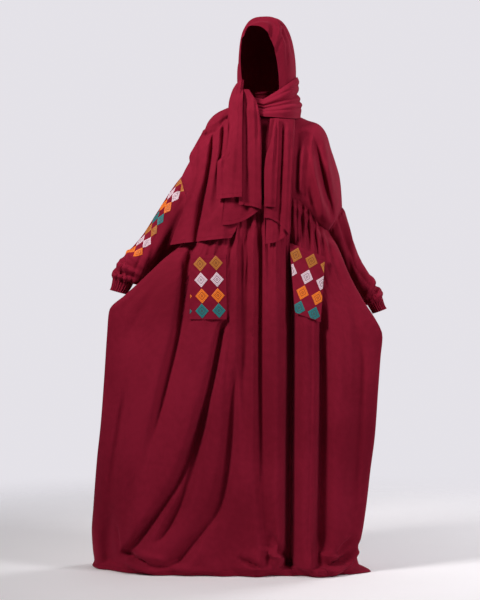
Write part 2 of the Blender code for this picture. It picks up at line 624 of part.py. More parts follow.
def yoke(columns, rows, front):
    """Grid of one yoke panel, its columns running from the right armhole to the left one."""
    across = np.linspace(0, 1, columns)
    down = (np.linspace(0, 1, rows) ** YOKE_ROW_POWER)[:, None]
    if front:
        upper = evenly(FRONT_YOKE_TOP, across)
    else:
        right_neck = FRONT_YOKE_TOP.index(BACK_NECK[0])
        left_neck = FRONT_YOKE_TOP.index(BACK_NECK[-1])
        line = FRONT_YOKE_TOP[:right_neck] + BACK_NECK + FRONT_YOKE_TOP[left_neck + 1 :]
        upper = evenly(line, across)
    x_foot = UNDERARM_RIGHT[0] + (UNDERARM_LEFT[0] - UNDERARM_RIGHT[0]) * across
    q = np.abs(2 * across - 1)
    fall = through(SEAM_FALL, np.abs(x_foot))[..., 0]
    z_foot = UNDERARM_LEFT[2] + YOKE_DROP - fall
    first = SKIRT_MIDDLE[0]
    if front:
        shape = (1 - q**FRONT_SQUARENESS) ** FRONT_ROUNDING
        y_foot = UNDERARM_LEFT[1] + (first[2] - UNDERARM_LEFT[1]) * shape
        depth = -ARMHOLE_FRONT_DEPTH
    else:
        shape = first[5] * np.sqrt(1 - q**TIP_SQUARENESS) + (1 - first[5]) * (1 - q**2) ** first[4]
        y_foot = UNDERARM_LEFT[1] + (first[3] - UNDERARM_LEFT[1]) * shape
        depth = ARMHOLE_BACK_DEPTH
    y_foot[[0, -1]] += -UNDERARM_EASE if front else UNDERARM_EASE
    lower = np.stack([x_foot, y_foot, z_foot], axis=-1)
    share = down[:, 0]
    right = armhole(FRONT_YOKE_TOP[0], lower[0], share, depth)
    left = armhole(FRONT_YOKE_TOP[-1], lower[-1], share, depth)
    round_down = np.sqrt(1 - (1 - down) ** 2)
    weight = np.stack(np.broadcast_arrays(down + 0 * across, round_down, down), axis=-1)
    grid = upper[None] * (1 - weight) + lower[None] * weight
    near_right = ease(1 - across / ARMHOLE_REACH)[None, :, None]
    near_left = ease(1 - (1 - across) / ARMHOLE_REACH)[None, :, None]
    grid = grid + near_right * (right[:, None] - grid[:, :1]) + near_left * (left[:, None] - grid[:, -1:])
    x, z = grid[..., 0], grid[..., 2]
    room = ease(np.minimum(across, 1 - across) / YOKE_ROOM[0])[None]
    room = room * ease(down / YOKE_ROOM[1]) * ease((1 - down) / YOKE_ROOM[2])
    if front:
        grid[..., 1] += fold_field(YOKE_FOLDS, x, z) * room - SEAM_GAP / 2
    else:
        grid[..., 1] += SEAM_GAP / 2
    return grid


def tube(rings, rows, side, puff=0.0, sewn_to=None):
    """Grid of a sleeve or cuff. The columns start at the outer line and run round by the front.

    A sleeve is sewn to the armhole between two given points, with its gathers fading in below it.
    """
    values = evenly(rings, np.linspace(0, 1, rows))
    turn = np.linspace(0, 2 * np.pi, SLEEVE_COLUMNS, endpoint=False)[None]
    x_out, z_out, x_in, z_in, y_mid, depth = (values[:, k, None] for k in range(6))
    share = np.linspace(0, 1, rows)[:, None]
    near_end = np.maximum(ease(1 - share / SLEEVE_GATHER_REACH), ease(1 - (1 - share) / SLEEVE_GATHER_REACH))
    size = 1 + SLEEVE_GATHER * near_end * np.cos(SLEEVE_WAVES * turn)
    size = size + puff * np.sin(np.pi * share) * np.cos(PUFF_TURNS * turn + PUFF_SLANT * share)
    along_width = np.cos(turn) * size
    x = (x_out + x_in) / 2 + (x_out - x_in) / 2 * along_width
    z = (z_out + z_in) / 2 + (z_out - z_in) / 2 * along_width
    y = y_mid - depth * np.sin(turn) * size
    grid = np.stack(np.broadcast_arrays(x, y, z), axis=-1).copy()
    if sewn_to:
        part = (1 - np.cos(turn[0])) / 2
        by_front = np.sin(turn[0]) >= 0
        seam = np.where(
            by_front[:, None],
            armhole(sewn_to[0], sewn_to[1], part, -ARMHOLE_FRONT_DEPTH),
            armhole(sewn_to[0], sewn_to[1], part, ARMHOLE_BACK_DEPTH),
        )
        ease_out = np.array((side * UNDERARM_EASE, UNDERARM_EASE, UNDERARM_EASE / 2))
        grid[0] = seam + square_to(sewn_to, side) * SEAM_GAP + part[:, None] ** 4 * ease_out
    return grid if side < 0 else grid[:, ::-1]


def hood():
    """Grid of the hood: rows are hoops from the face to the nape, columns run from right to left."""
    values = evenly(HOOPS, np.linspace(0, 1, HOOD_ROWS))
    angle = np.linspace(0, np.pi, HOOD_COLUMNS)[None]
    top_x, top_y, top_z, half, rx, ry, rz, lx, ly, lz = (values[:, k, None] for k in range(10))
    end_half = (lx - rx) / 2
    share = (1 - np.cos(angle)) / 2
    width = end_half + (half - end_half) * np.sin(angle) ** HOOP_WIDENING
    mid_end_x = (lx + rx) / 2
    squareness = through(HOOP_SQUARENESS, np.linspace(0, 1, HOOD_ROWS))
    swing = np.sign(np.cos(angle)) * np.abs(np.cos(angle)) ** squareness
    x = mid_end_x + (top_x - mid_end_x) * np.sin(angle) - width * swing
    y = ry + (ly - ry) * share + (top_y - (ry + ly) / 2) * np.sin(angle) ** HOOP_SWEEP
    z = rz + (lz - rz) * share + (top_z - (rz + lz) / 2) * np.sin(angle) ** squareness
    return np.stack([x, y, z], axis=-1)[::-1]


def neck_wrap(hood_points, below):
    """Grid of the stretch round the neck, whose upper edge hugs the hood and whose foot sits on the yoke."""
    turn = np.linspace(0, 360, WRAP_COLUMNS, endpoint=False)
    values = through(NECK_WRAP, turn)
    upper, lower = values[:, :3], values[:, 3:]
    hood_tree, _ = surface(hood_points)
    halfway = (upper + np.roll(upper, 1, axis=0)) / 2
    room = min(hood_tree.find_nearest(Vector(p))[3] for p in np.concatenate([upper, halfway]))
    share = np.linspace(0, 1, WRAP_ROWS)[:, None, None]

    def away_from_neck(points):
        away = points - np.array(NECK_CENTRE)
        away[..., 2] = 0
        return away / np.linalg.norm(away, axis=-1, keepdims=True)

    upper = upper - away_from_neck(upper) * (room - WALL - CONTACT_GAP)
    at = np.linspace(0, WRAP_COLUMNS, RIM_SAMPLES)
    corners = np.arange(WRAP_COLUMNS + 1)
    drop = np.inf
    for rim in (lower, lower - away_from_neck(lower) * WALL):
        rim = np.concatenate([rim, rim[:1]])
        for start in np.stack([np.interp(at, corners, rim[:, k]) for k in range(3)], axis=1):
            for tree, _ in below:
                hit = tree.ray_cast(Vector(start), -Vector(UPWARD))[0]
                if hit is not None:
                    drop = min(drop, start[2] - hit.z)
    lower = lower - np.array(UPWARD) * (drop - CONTACT_GAP) * np.sin(np.radians(turn))[:, None] ** 2
    grid = upper[None] + (lower - upper)[None] * share
    slant = np.sin(np.radians(turn))[None, :, None]
    puff = WRAP_BULGE + WRAP_FOLD * np.sin(WRAP_WAVES * np.pi * share + slant)
    return grid + away_from_neck(grid) * puff * np.sin(np.pi * share)


def flat_piece(outline, size, folds, beneath):
    """Grid of a scarf stretch with two open edges, lying on what is beneath it."""
    rows, columns = size
    share = np.linspace(0, 1, rows)
    right_x, right_z, left_x, left_z = through(outline, share).T
    across = np.linspace(0, 1, columns)[None]
    x = right_x[:, None] + (left_x - right_x)[:, None] * across
    z = right_z[:, None] + (left_z - right_z)[:, None] * across
    y = resting(x, z, beneath, LAYER_GAP + WALL) - fold_field(folds, x, z)
    return seated(np.stack([x, y, z], axis=-1), beneath)


def turned_piece(outline, top_z, hems, size, folds, beneath):
    """Grid of a scarf end folded back on itself: front layer, rounded fold, hidden layer."""
    rows, columns = size
    share = np.linspace(0, 1, rows)
    open_x, fold_x, hidden_x = (v[:, None] for v in through(outline, share).T)
    front_hem, fold_hem, hidden_hem = hems
    part = np.linspace(0, 1, columns)[None]
    turn = np.linspace(-np.pi / 2, np.pi / 2, TURN_STEPS)[None, 1:-1]
    x_front = open_x + (fold_x - TURN_RADIUS - open_x) * part
    x_turn = fold_x - TURN_RADIUS + TURN_RADIUS * np.cos(turn)
    x_back = fold_x - TURN_RADIUS + (hidden_x - fold_x + TURN_RADIUS) * part
    hem_front = front_hem + (fold_hem - front_hem) * part**2
    hem_turn = fold_hem + 0 * turn
    hem_back = fold_hem + (hidden_hem - fold_hem) * part
    step = np.concatenate([0 * part + 1, -np.sin(turn), 0 * part - 1], axis=1)
    x = np.concatenate([x_front, x_turn, x_back], axis=1)
    hem = np.concatenate([hem_front, hem_turn, hem_back], axis=1)
    z = top_z + (hem - top_z) * share[:, None]
    rest = resting(x, z, beneath, LAYER_GAP + WALL)
    y = rest - TURN_RADIUS * (1 + step) - fold_field(folds, x, z)
    return seated(np.stack([x, y, z], axis=-1), beneath)


def pocket(corners, beneath):
    """Grid of a patch pocket lying on the skirt."""
    rows, columns = POCKET_GRID
    top_right, top_left, foot_right, foot_left = (np.array(c) for c in corners)
    down = np.linspace(0, 1, rows)[:, None, None]
    across = np.linspace(0, 1, columns)[None, :, None]
    flat = (top_right * (1 - across) + top_left * across) * (1 - down)
    flat = flat + (foot_right * (1 - across) + foot_left * across) * down
    x, z = flat[..., 0], flat[..., 1]
    y = resting(x, z, beneath, LAYER_GAP + WALL, POCKET_REACH)
    return seated(np.stack([x, y, z], axis=-1), beneath)


def at_edge(grid, rows=None, columns=None):
    """Mask of the points of a grid in one row or column."""
    mask = np.zeros(grid.shape[:2], bool)
    mask[slice(None) if rows is None else rows, slice(None) if columns is None else columns] = True
    return mask


def skirt_seams(grid):
    """Side seams and upper seam of a skirt panel."""
    sides = at_edge(grid, columns=0) | at_edge(grid, columns=-1)
    return ((sides, ACROSS), (at_edge(grid, rows=0), UPWARD))


def yoke_seams(grid):
    """Armhole, shoulder, lower and underarm seams of a yoke panel."""
    rightmost = np.argmin(grid[0, :, 0])
    right = at_edge(grid, columns=rightmost)
    left = at_edge(grid, columns=-1 - rightmost if rightmost == 0 else 0)
    foot = at_edge(grid, rows=-1) & ~right & ~left
    shoulder = at_edge(grid, rows=0) & (np.abs(grid[..., 0]) > NECK_HALF)
    return (
        (right, square_to((FRONT_YOKE_TOP[0], UNDERARM_RIGHT), RIGHT)),
        (left, square_to((FRONT_YOKE_TOP[-1], UNDERARM_LEFT), LEFT)),
        (shoulder, ACROSS),
        (foot, UPWARD),
    )


def normals_above(panel, above):
    """Normals for the first row of the skirt: those of the yoke's last row, and its own at both corners."""
    foot = above[-1, :, 0]
    normal = outward(above, seams=yoke_seams(above))[-1]
    order = np.argsort(foot)
    read = np.stack([np.interp(panel[0, :, 0], foot[order], normal[order, k]) for k in range(3)], axis=-1)
    own = outward(panel, seams=skirt_seams(panel))[0]
    columns = skirt_columns()
    corner = ease(1 - np.minimum(columns, 1 - columns) / SEAM_END)[:, None]
    mixed = read * (1 - corner) + own * corner
    return mixed / np.linalg.norm(mixed, axis=1, keepdims=True)


for old in list(bpy.data.objects):
    bpy.data.objects.remove(old, do_unlink=True)

yoke_front = yoke(len(FRONT_YOKE_TOP), YOKE_ROWS, True)
yoke_back = yoke(len(FRONT_YOKE_TOP), YOKE_ROWS, False)
skirt_front = skirt(FRONT_FOLDS, True, yoke_front[-1])
skirt_back = skirt(BACK_FOLDS, False, yoke_back[-1])
yoke_back = yoke_back[:, ::-1]
skirt_back = skirt_back[:, ::-1]
sleeve_right = tube(RIGHT_SLEEVE, SLEEVE_ROWS, RIGHT, SLEEVE_PUFF, (FRONT_YOKE_TOP[0], UNDERARM_RIGHT))
sleeve_left = tube(LEFT_SLEEVE, SLEEVE_ROWS, LEFT, SLEEVE_PUFF, (FRONT_YOKE_TOP[-1], UNDERARM_LEFT))
cuff_right = tube(RIGHT_CUFF, CUFF_ROWS, RIGHT)
cuff_left = tube(LEFT_CUFF, CUFF_ROWS, LEFT)
hood_grid = hood()
wrap_grid = neck_wrap(hood_grid, [surface(yoke_front), surface(yoke_back)])

under_skirt = [surface(skirt_front)]
pocket_right = pocket(RIGHT_POCKET, under_skirt)
pocket_left = pocket(LEFT_POCKET, under_skirt)
dress = under_skirt + [surface(g) for g in (yoke_front, pocket_right, pocket_left)]
left_back = turned_piece(
    BREAST_LEFT_BACK, BREAST_LEFT_BACK_TOP_Z, BREAST_LEFT_BACK_HEMS, LEFT_BACK_GRID, LEFT_BACK_FOLDS, dress
)
left_front = flat_piece(BREAST_LEFT_FRONT, LEFT_FRONT_GRID, LEFT_FRONT_FOLDS, dress + [surface(left_back)])
dress += [surface(sleeve_right, True)]
drape = flat_piece(DRAPE_OUTLINE, DRAPE_GRID, DRAPE_FOLDS, dress)
under_breast = dress + [surface(drape), surface(wrap_grid, True)]
right_back = turned_piece(
    BREAST_RIGHT_BACK,
    BREAST_RIGHT_BACK_TOP_Z,
    BREAST_RIGHT_BACK_HEMS,
    RIGHT_BACK_GRID,
    RIGHT_BACK_FOLDS,
    under_breast,
)
under_breast.append(surface(right_back))
right_front = flat_piece(BREAST_RIGHT_FRONT, RIGHT_FRONT_GRID, RIGHT_FRONT_FOLDS, under_breast)

for name, panel, above in (("skirt_front", skirt_front, yoke_front), ("skirt_back", skirt_back, yoke_back)):
    cloth(name, panel, CREPE, seams=skirt_seams(panel), first=normals_above(panel, above))
cloth("yoke_front", yoke_front, CREPE, seams=yoke_seams(yoke_front))
cloth("yoke_back", yoke_back, CREPE, seams=yoke_seams(yoke_back))
for name, panel, side, ends in (
    ("sleeve_right", sleeve_right, RIGHT, (FRONT_YOKE_TOP[0], UNDERARM_RIGHT)),
    ("sleeve_left", sleeve_left, LEFT, (FRONT_YOKE_TOP[-1], UNDERARM_LEFT)),
):
    cloth(name, panel, CREPE, ring=True, seams=((at_edge(panel, rows=0), square_to(ends, side)),))
cloth("cuff_right", cuff_right, CREPE, ring=True)
cloth("cuff_left", cuff_left, CREPE, ring=True)
cloth("pocket_right", pocket_right, PATCH)
cloth("pocket_left", pocket_left, PATCH)
cloth("scarf_hood", hood_grid, SCARF_CREPE)
cloth("scarf_neck_wrap", wrap_grid, SCARF_CREPE, ring=True)
cloth("scarf_shoulder_drape", drape, SCARF_CREPE)
cloth("scarf_end_right_back", right_back, SCARF_CREPE)
cloth("scarf_end_right_front", right_front, SCARF_CREPE)
cloth("scarf_end_left_back", left_back, SCARF_CREPE)
cloth("scarf_end_left_front", left_front, SCARF_CREPE)
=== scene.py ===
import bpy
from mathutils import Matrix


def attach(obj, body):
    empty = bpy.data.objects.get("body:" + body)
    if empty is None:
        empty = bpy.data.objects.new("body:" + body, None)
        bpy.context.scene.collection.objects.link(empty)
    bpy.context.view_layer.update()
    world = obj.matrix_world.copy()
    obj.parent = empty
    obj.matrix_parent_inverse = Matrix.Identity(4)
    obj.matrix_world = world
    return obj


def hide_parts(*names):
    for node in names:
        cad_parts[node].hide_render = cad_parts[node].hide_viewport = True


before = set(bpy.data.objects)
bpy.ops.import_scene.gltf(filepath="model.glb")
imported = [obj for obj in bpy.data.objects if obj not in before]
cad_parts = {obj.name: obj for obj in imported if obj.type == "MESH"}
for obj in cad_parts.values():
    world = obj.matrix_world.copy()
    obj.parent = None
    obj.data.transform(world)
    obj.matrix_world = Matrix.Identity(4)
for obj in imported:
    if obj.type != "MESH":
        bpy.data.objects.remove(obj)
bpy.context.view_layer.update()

# Looks of a prayer dress with its wound head scarf. Metres, the front faces -Y and +Z is up, left and
# right are the wearer's. Each piece is thin cloth on the form of its solid, built from the same
# named sizes with more rows and columns, and carries the gathers, creases, hems and stitching.

import math

import bpy
import numpy as np
from mathutils import Vector
from mathutils.bvhtree import BVHTree

# Overall sizes
WALL = 0.001
SEAM_GAP = 0.0006
YOKE_DROP = 0.102
GATHERS = 22
# Sides of the wearer as signs of x, and the ways that seams and rays run
RIGHT, LEFT = -1, 1
BACKWARD = Vector((0.0, 1.0, 0.0))
UPWARD = Vector((0.0, 0.0, 1.0))
VIEW_Y = -1.0
TINY = 1e-12

# Both edges of the skirt from the underarm out to the held-out corner, then down to the floor
# share of the way down, x, y, z
SKIRT_RIGHT_EDGE = (
    (0.00, -0.205, -0.030, -0.352),
    (0.02, -0.215, -0.034, -0.368),
    (0.07, -0.251, -0.072, -0.400),
    (0.12, -0.296, -0.092, -0.436),
    (0.17, -0.341, -0.100, -0.479),
    (0.22, -0.380, -0.102, -0.516),
    (0.27, -0.417, -0.102, -0.549),
    (0.34, -0.465, -0.100, -0.597),
    (0.40, -0.472, -0.095, -0.670),
    (0.50, -0.482, -0.080, -0.802),
    (0.61, -0.495, -0.055, -0.944),
    (0.69, -0.508, -0.035, -1.050),
    (0.80, -0.522, -0.002, -1.196),
    (0.89, -0.530, 0.025, -1.292),
    (0.94, -0.529, 0.048, -1.344),
    (0.97, -0.526, 0.062, -1.378),
    (1.00, -0.533, 0.072, -1.397),
)
SKIRT_LEFT_EDGE = (
    (0.00, 0.205, -0.030, -0.352),
    (0.02, 0.212, -0.034, -0.366),
    (0.07, 0.227, -0.072, -0.396),
    (0.12, 0.242, -0.092, -0.433),
    (0.17, 0.256, -0.100, -0.470),
    (0.22, 0.274, -0.103, -0.509),
    (0.27, 0.301, -0.104, -0.558),
    (0.34, 0.364, -0.100, -0.673),
    (0.40, 0.359, -0.097, -0.731),
    (0.50, 0.352, -0.090, -0.834),
    (0.61, 0.343, -0.080, -0.975),
    (0.69, 0.330, -0.070, -1.083),
    (0.80, 0.317, -0.060, -1.203),
    (0.89, 0.303, -0.050, -1.294),
    (0.94, 0.289, -0.045, -1.336),
    (0.97, 0.297, -0.042, -1.375),
    (1.00, 0.334, -0.038, -1.397),
)
# share of the way down, lift of the middle over the edges, front y, back y, back power, fullness of the tip
SKIRT_MIDDLE = (
    (0.00, 0.102, -0.135, 0.115, 0.55, 0.20),
    (0.07, 0.112, -0.141, 0.122, 0.80, 0.16),
    (0.12, 0.118, -0.145, 0.126, 1.10, 0.13),
    (0.22, 0.122, -0.150, 0.134, 1.70, 0.12),
    (0.34, 0.120, -0.152, 0.145, 1.60, 0.12),
    (0.50, 0.075, -0.150, 0.160, 1.10, 0.14),
    (0.69, 0.030, -0.142, 0.180, 0.80, 0.16),
    (0.89, 0.004, -0.130, 0.198, 0.60, 0.18),
    (0.97, 0.000, -0.123, 0.206, 0.55, 0.18),
    (1.00, 0.000, -0.114, 0.212, 0.55, 0.18),
)
# Share of the way across that stays plain along each side seam
SEAM_END = 1 / 24
SEAM_RELEASE = 0.10
SIDE_PULL = 5.0
SIDE_PULL_END = 0.5
MIDDLE_ROUNDING = 0.02
SKIRT_SETTLE = 0.30
SIDE_ROOM = 0.06
FRONT_SQUARENESS = 3
FRONT_ROUNDING = 0.55
TIP_SQUARENESS = 10
HEM_CALM = 0.03
HEM_KEPT = 0.55
# share of the way down, depth of the gathers
GATHER_DEPTHS = ((0, 0.0), (0.012, 0.0016), (0.05, 0.0034), (0.10, 0.0036), (0.16, 0.0026), (0.34, 0.0))

# Fall of the gathered seam under each yoke towards the sides
# distance from the middle, height lost
SEAM_FALL = ((0.0, 0.0), (0.097, 0.008), (0.133, 0.034), (0.177, 0.088), (0.192, 0.098), (0.205, 0.102))

# Folds of the skirt front, positive into the skirt
# depth, half width at top and foot, height of top and foot, x at four even heights, fade at top and foot,
# and in some rows how much steeper the left side is than the right
FRONT_FOLDS = (
    (0.016, 0.014, 0.034, -0.405, -1.250, -0.221, -0.256, -0.325, -0.400, 0.04, 0.20),
    (0.024, 0.012, 0.026, -0.600, -1.375, -0.112, -0.166, -0.262, -0.430, 0.06, 0.04),
    (0.018, 0.012, 0.022, -0.840, -1.340, -0.155, -0.194, -0.246, -0.345, 0.12, 0.10),
    (0.022, 0.016, 0.034, -0.700, -1.380, -0.078, -0.092, -0.128, -0.270, 0.18, 0.02),
    (0.012, 0.010, 0.018, -0.780, -1.260, -0.405, -0.432, -0.456, -0.478, 0.14, 0.20),
    (0.040, 0.040, 0.050, -1.140, -1.390, -0.474, -0.472, -0.470, -0.468, 0.20, 0.0),
    (-0.010, 0.012, 0.030, -0.380, -1.300, -0.090, -0.092, -0.060, -0.040, 0.05, 0.20),
    (0.012, 0.008, 0.016, -0.360, -1.150, -0.062, -0.064, -0.058, -0.052, 0.05, 0.30),
    (-0.010, 0.010, 0.022, -0.340, -1.380, -0.034, -0.032, -0.026, -0.012, 0.05, 0.05),
    (0.012, 0.008, 0.018, -0.340, -1.380, -0.008, -0.010, -0.004, 0.014, 0.05, 0.04),
    (-0.014, 0.014, 0.026, -0.330, -1.380, 0.036, 0.038, 0.042, 0.050, 0.05, 0.02),
    (0.030, 0.018, 0.024, -0.330, -1.385, 0.086, 0.087, 0.084, 0.082, 0.12, 0.01),
    (-0.014, 0.024, 0.030, -0.500, -1.385, 0.128, 0.130, 0.128, 0.124, 0.15, 0.01),
    (0.018, 0.014, 0.022, -0.560, -1.385, 0.176, 0.180, 0.174, 0.166, 0.08, 0.01),
    (-0.010, 0.020, 0.030, -0.560, -1.385, 0.232, 0.234, 0.228, 0.222, 0.15, 0.01),
    (0.010, 0.014, 0.020, -0.640, -1.300, 0.300, 0.292, 0.280, 0.268, 0.15, 0.20),
    (0.006, 0.007, 0.012, -0.260, -0.820, -0.090, -0.092, -0.096, -0.100, 0.02, 0.30),
    (-0.005, 0.008, 0.014, -0.260, -0.950, -0.076, -0.075, -0.073, -0.070, 0.02, 0.30),
    (0.006, 0.006, 0.012, -0.258, -0.900, -0.046, -0.045, -0.043, -0.040, 0.02, 0.30, 0.2),
    (-0.004, 0.007, 0.012, -0.258, -0.700, -0.020, -0.019, -0.016, -0.012, 0.02, 0.20),
    (0.005, 0.006, 0.010, -0.256, -0.620, 0.014, 0.015, 0.017, 0.020, 0.02, 0.20),
    (0.0045, 0.006, 0.010, -0.256, -0.560, 0.055, 0.056, 0.058, 0.060, 0.02, 0.20),
    (0.020, 0.008, 0.011, -0.300, -1.380, 0.087, 0.089, 0.086, 0.083, 0.16, 0.01, 0.4),
    (0.018, 0.011, 0.013, -0.320, -1.385, 0.090, 0.090, 0.087, 0.084, 0.20, 0.01, 0.5),
    (-0.004, 0.007, 0.010, -0.420, -1.385, 0.103, 0.104, 0.102, 0.098, 0.10, 0.02),
    (-0.005, 0.006, 0.009, -0.440, -1.385, 0.152, 0.154, 0.150, 0.143, 0.10, 0.02, -0.4),
    (0.006, 0.010, 0.014, -0.620, -1.385, 0.172, 0.172, 0.168, 0.160, 0.10, 0.02, -0.5),
    (0.016, 0.010, 0.020, -0.520, -1.385, 0.172, 0.176, 0.174, 0.168, 0.10, 0.02, -0.5),
    (0.016, 0.009, 0.016, -0.385, -1.120, -0.210, -0.245, -0.306, -0.372, 0.02, 0.30, 0.4),
    (0.015, 0.008, 0.014, -0.615, -1.360, -0.113, -0.164, -0.255, -0.425, 0.03, 0.05, 0.3),
    (0.010, 0.009, 0.013, -0.860, -1.320, -0.157, -0.196, -0.240, -0.332, 0.08, 0.05, 0.3),
    (0.012, 0.010, 0.016, -0.740, -1.370, -0.079, -0.092, -0.122, -0.268, 0.10, 0.02, 0.3),
    (0.008, 0.007, 0.011, -0.280, -0.950, -0.098, -0.098, -0.104, -0.116, 0.03, 0.20),
    (0.008, 0.007, 0.011, -0.280, -0.850, -0.043, -0.043, -0.046, -0.050, 0.03, 0.20),
    (0.010, 0.007, 0.012, -0.280, -1.300, -0.005, -0.006, -0.010, -0.014, 0.03, 0.30, 0.3),
    (-0.035, 0.030, 0.036, -1.300, -1.392, -0.020, -0.016, -0.011, -0.011, 0.08, 0.0),
    (-0.045, 0.042, 0.048, -1.270, -1.392, 0.165, 0.166, 0.168, 0.170, 0.11, 0.0),
    (0.011, 0.007, 0.010, -0.270, -0.420, 0.118, 0.116, 0.112, 0.108, 0.02, 0.08),
    (0.011, 0.007, 0.010, -0.285, -0.440, 0.134, 0.137, 0.142, 0.146, 0.02, 0.08),
    (0.009, 0.007, 0.010, -0.300, -0.460, 0.150, 0.156, 0.164, 0.170, 0.02, 0.08),
    (0.006, 0.006, 0.009, -0.320, -0.520, 0.170, 0.182, 0.198, 0.210, 0.02, 0.10),
    (0.006, 0.007, 0.010, -0.345, -0.560, 0.196, 0.214, 0.234, 0.250, 0.02, 0.10),
    (0.005, 0.007, 0.016, -0.380, -0.760, -0.128, -0.136, -0.150, -0.166, 0.02, 0.20),
    (0.005, 0.007, 0.014, -0.385, -0.620, -0.160, -0.172, -0.186, -0.200, 0.02, 0.16),
    (-0.005, 0.008, 0.014, -0.385, -0.700, -0.144, -0.154, -0.172, -0.190, 0.02, 0.20),
    (0.006, 0.016, 0.018, -0.420, -0.620, -0.270, -0.330, -0.390, -0.445, 0.06, 0.05),
    (0.005, 0.018, 0.022, -0.480, -0.760, -0.300, -0.350, -0.400, -0.430, 0.06, 0.12),
    (-0.006, 0.016, 0.030, -0.700, -1.300, -0.300, -0.330, -0.360, -0.390, 0.20, 0.20),
    (0.008, 0.012, 0.018, -1.050, -1.385, -0.395, -0.405, -0.415, -0.424, 0.12, 0.02),
    (0.006, 0.010, 0.016, -1.180, -1.385, -0.460, -0.466, -0.470, -0.470, 0.08, 0.02),
    (0.006, 0.014, 0.020, -0.520, -0.900, 0.262, 0.282, 0.296, 0.300, 0.08, 0.20),
    (-0.005, 0.014, 0.022, -0.560, -1.200, 0.262, 0.268, 0.266, 0.260, 0.10, 0.30),
    (-0.008, 0.016, 0.024, -0.780, -1.385, -0.200, -0.230, -0.290, -0.360, 0.20, 0.02, 0.3),
    (-0.008, 0.018, 0.026, -0.900, -1.385, -0.120, -0.130, -0.160, -0.230, 0.20, 0.02, 0.3),
    (0.006, 0.012, 0.018, -0.950, -1.385, -0.030, -0.030, -0.030, -0.020, 0.20, 0.02),
    (0.010, 0.010, 0.016, -1.200, -1.385, 0.034, 0.030, 0.022, 0.010, 0.10, 0.02),
)
# Folds of the skirt back, positive into the skirt, same columns
BACK_FOLDS = (
    (0.018, 0.014, 0.026, -0.420, -1.385, -0.150, -0.190, -0.260, -0.350, 0.05, 0.02),
    (0.022, 0.018, 0.028, -0.380, -1.385, -0.085, -0.110, -0.150, -0.200, 0.10, 0.02),
    (0.016, 0.020, 0.026, -0.360, -1.385, -0.032, -0.040, -0.060, -0.090, 0.20, 0.02),
    (0.018, 0.020, 0.026, -0.360, -1.385, 0.034, 0.040, 0.040, 0.034, 0.20, 0.02),
    (0.022, 0.018, 0.028, -0.380, -1.385, 0.085, 0.095, 0.105, 0.115, 0.10, 0.02),
    (0.018, 0.014, 0.026, -0.420, -1.385, 0.140, 0.160, 0.185, 0.210, 0.05, 0.02),
    (0.012, 0.014, 0.022, -0.700, -1.385, -0.330, -0.350, -0.390, -0.440, 0.15, 0.02),
    (0.006, 0.008, 0.016, -0.380, -0.900, -0.120, -0.140, -0.170, -0.190, 0.03, 0.30),
    (0.005, 0.008, 0.016, -0.340, -1.000, -0.058, -0.066, -0.080, -0.100, 0.03, 0.30, 0.2),
    (-0.005, 0.008, 0.016, -0.330, -0.800, -0.012, -0.014, -0.018, -0.022, 0.03, 0.30),
    (0.005, 0.008, 0.016, -0.340, -1.100, 0.012, 0.012, 0.010, 0.006, 0.03, 0.30, -0.2),
    (0.005, 0.008, 0.016, -0.350, -0.850, 0.062, 0.066, 0.072, 0.078, 0.03, 0.30),
    (0.006, 0.008, 0.016, -0.380, -1.000, 0.112, 0.124, 0.140, 0.150, 0.03, 0.30),
    (-0.007, 0.014, 0.028, -0.600, -1.385, -0.230, -0.250, -0.300, -0.350, 0.20, 0.02),
    (-0.006, 0.014, 0.028, -0.560, -1.385, 0.060, 0.068, 0.074, 0.076, 0.20, 0.02),
    (0.006, 0.014, 0.020, -0.480, -0.740, -0.300, -0.350, -0.400, -0.440, 0.06, 0.10),
    (0.006, 0.014, 0.020, -0.500, -0.800, 0.210, 0.250, 0.290, 0.310, 0.06, 0.20),
    (0.007, 0.012, 0.020, -0.950, -1.385, -0.400, -0.420, -0.440, -0.460, 0.20, 0.02),
    (0.007, 0.012, 0.020, -0.980, -1.385, 0.250, 0.256, 0.262, 0.268, 0.20, 0.02),
)

# Upper edge of the front yoke, from the right armhole over the shoulder and round the neck
# x, y, z
FRONT_YOKE_TOP = (
    (-0.250, 0.020, -0.180),
    (-0.237, 0.016, -0.155),
    (-0.223, 0.012, -0.130),
    (-0.202, 0.006, -0.090),
    (-0.182, 0.002, -0.048),
    (-0.168, 0.000, -0.014),
    (-0.147, 0.000, 0.010),
    (-0.123, 0.000, 0.024),
    (-0.099, -0.004, 0.032),
    (-0.076, -0.054, 0.013),
    (-0.040, -0.086, 0.001),
    (0.004, -0.098, -0.002),
    (0.050, -0.088, -0.001),
    (0.084, -0.054, 0.003),
    (0.105, -0.004, 0.006),
    (0.142, 0.000, -0.008),
    (0.172, 0.000, -0.018),
    (0.190, 0.000, -0.034),
    (0.202, 0.000, -0.056),
    (0.214, 0.002, -0.097),
    (0.226, 0.004, -0.132),
    (0.241, 0.008, -0.183),
    (0.245, 0.011, -0.210),
    (0.248, 0.016, -0.244),
    (0.250, 0.020, -0.276),
)
# The same edge of the back yoke between the two neck points
BACK_NECK = (
    (-0.099, -0.004, 0.032),
    (-0.078, 0.058, 0.038),
    (-0.040, 0.090, 0.038),
    (0.004, 0.100, 0.040),
    (0.048, 0.090, 0.034),
    (0.086, 0.058, 0.022),
    (0.105, -0.004, 0.006),
)
UNDERARM_RIGHT = (-0.205, -0.030, -0.352)
UNDERARM_LEFT = (0.205, -0.030, -0.352)
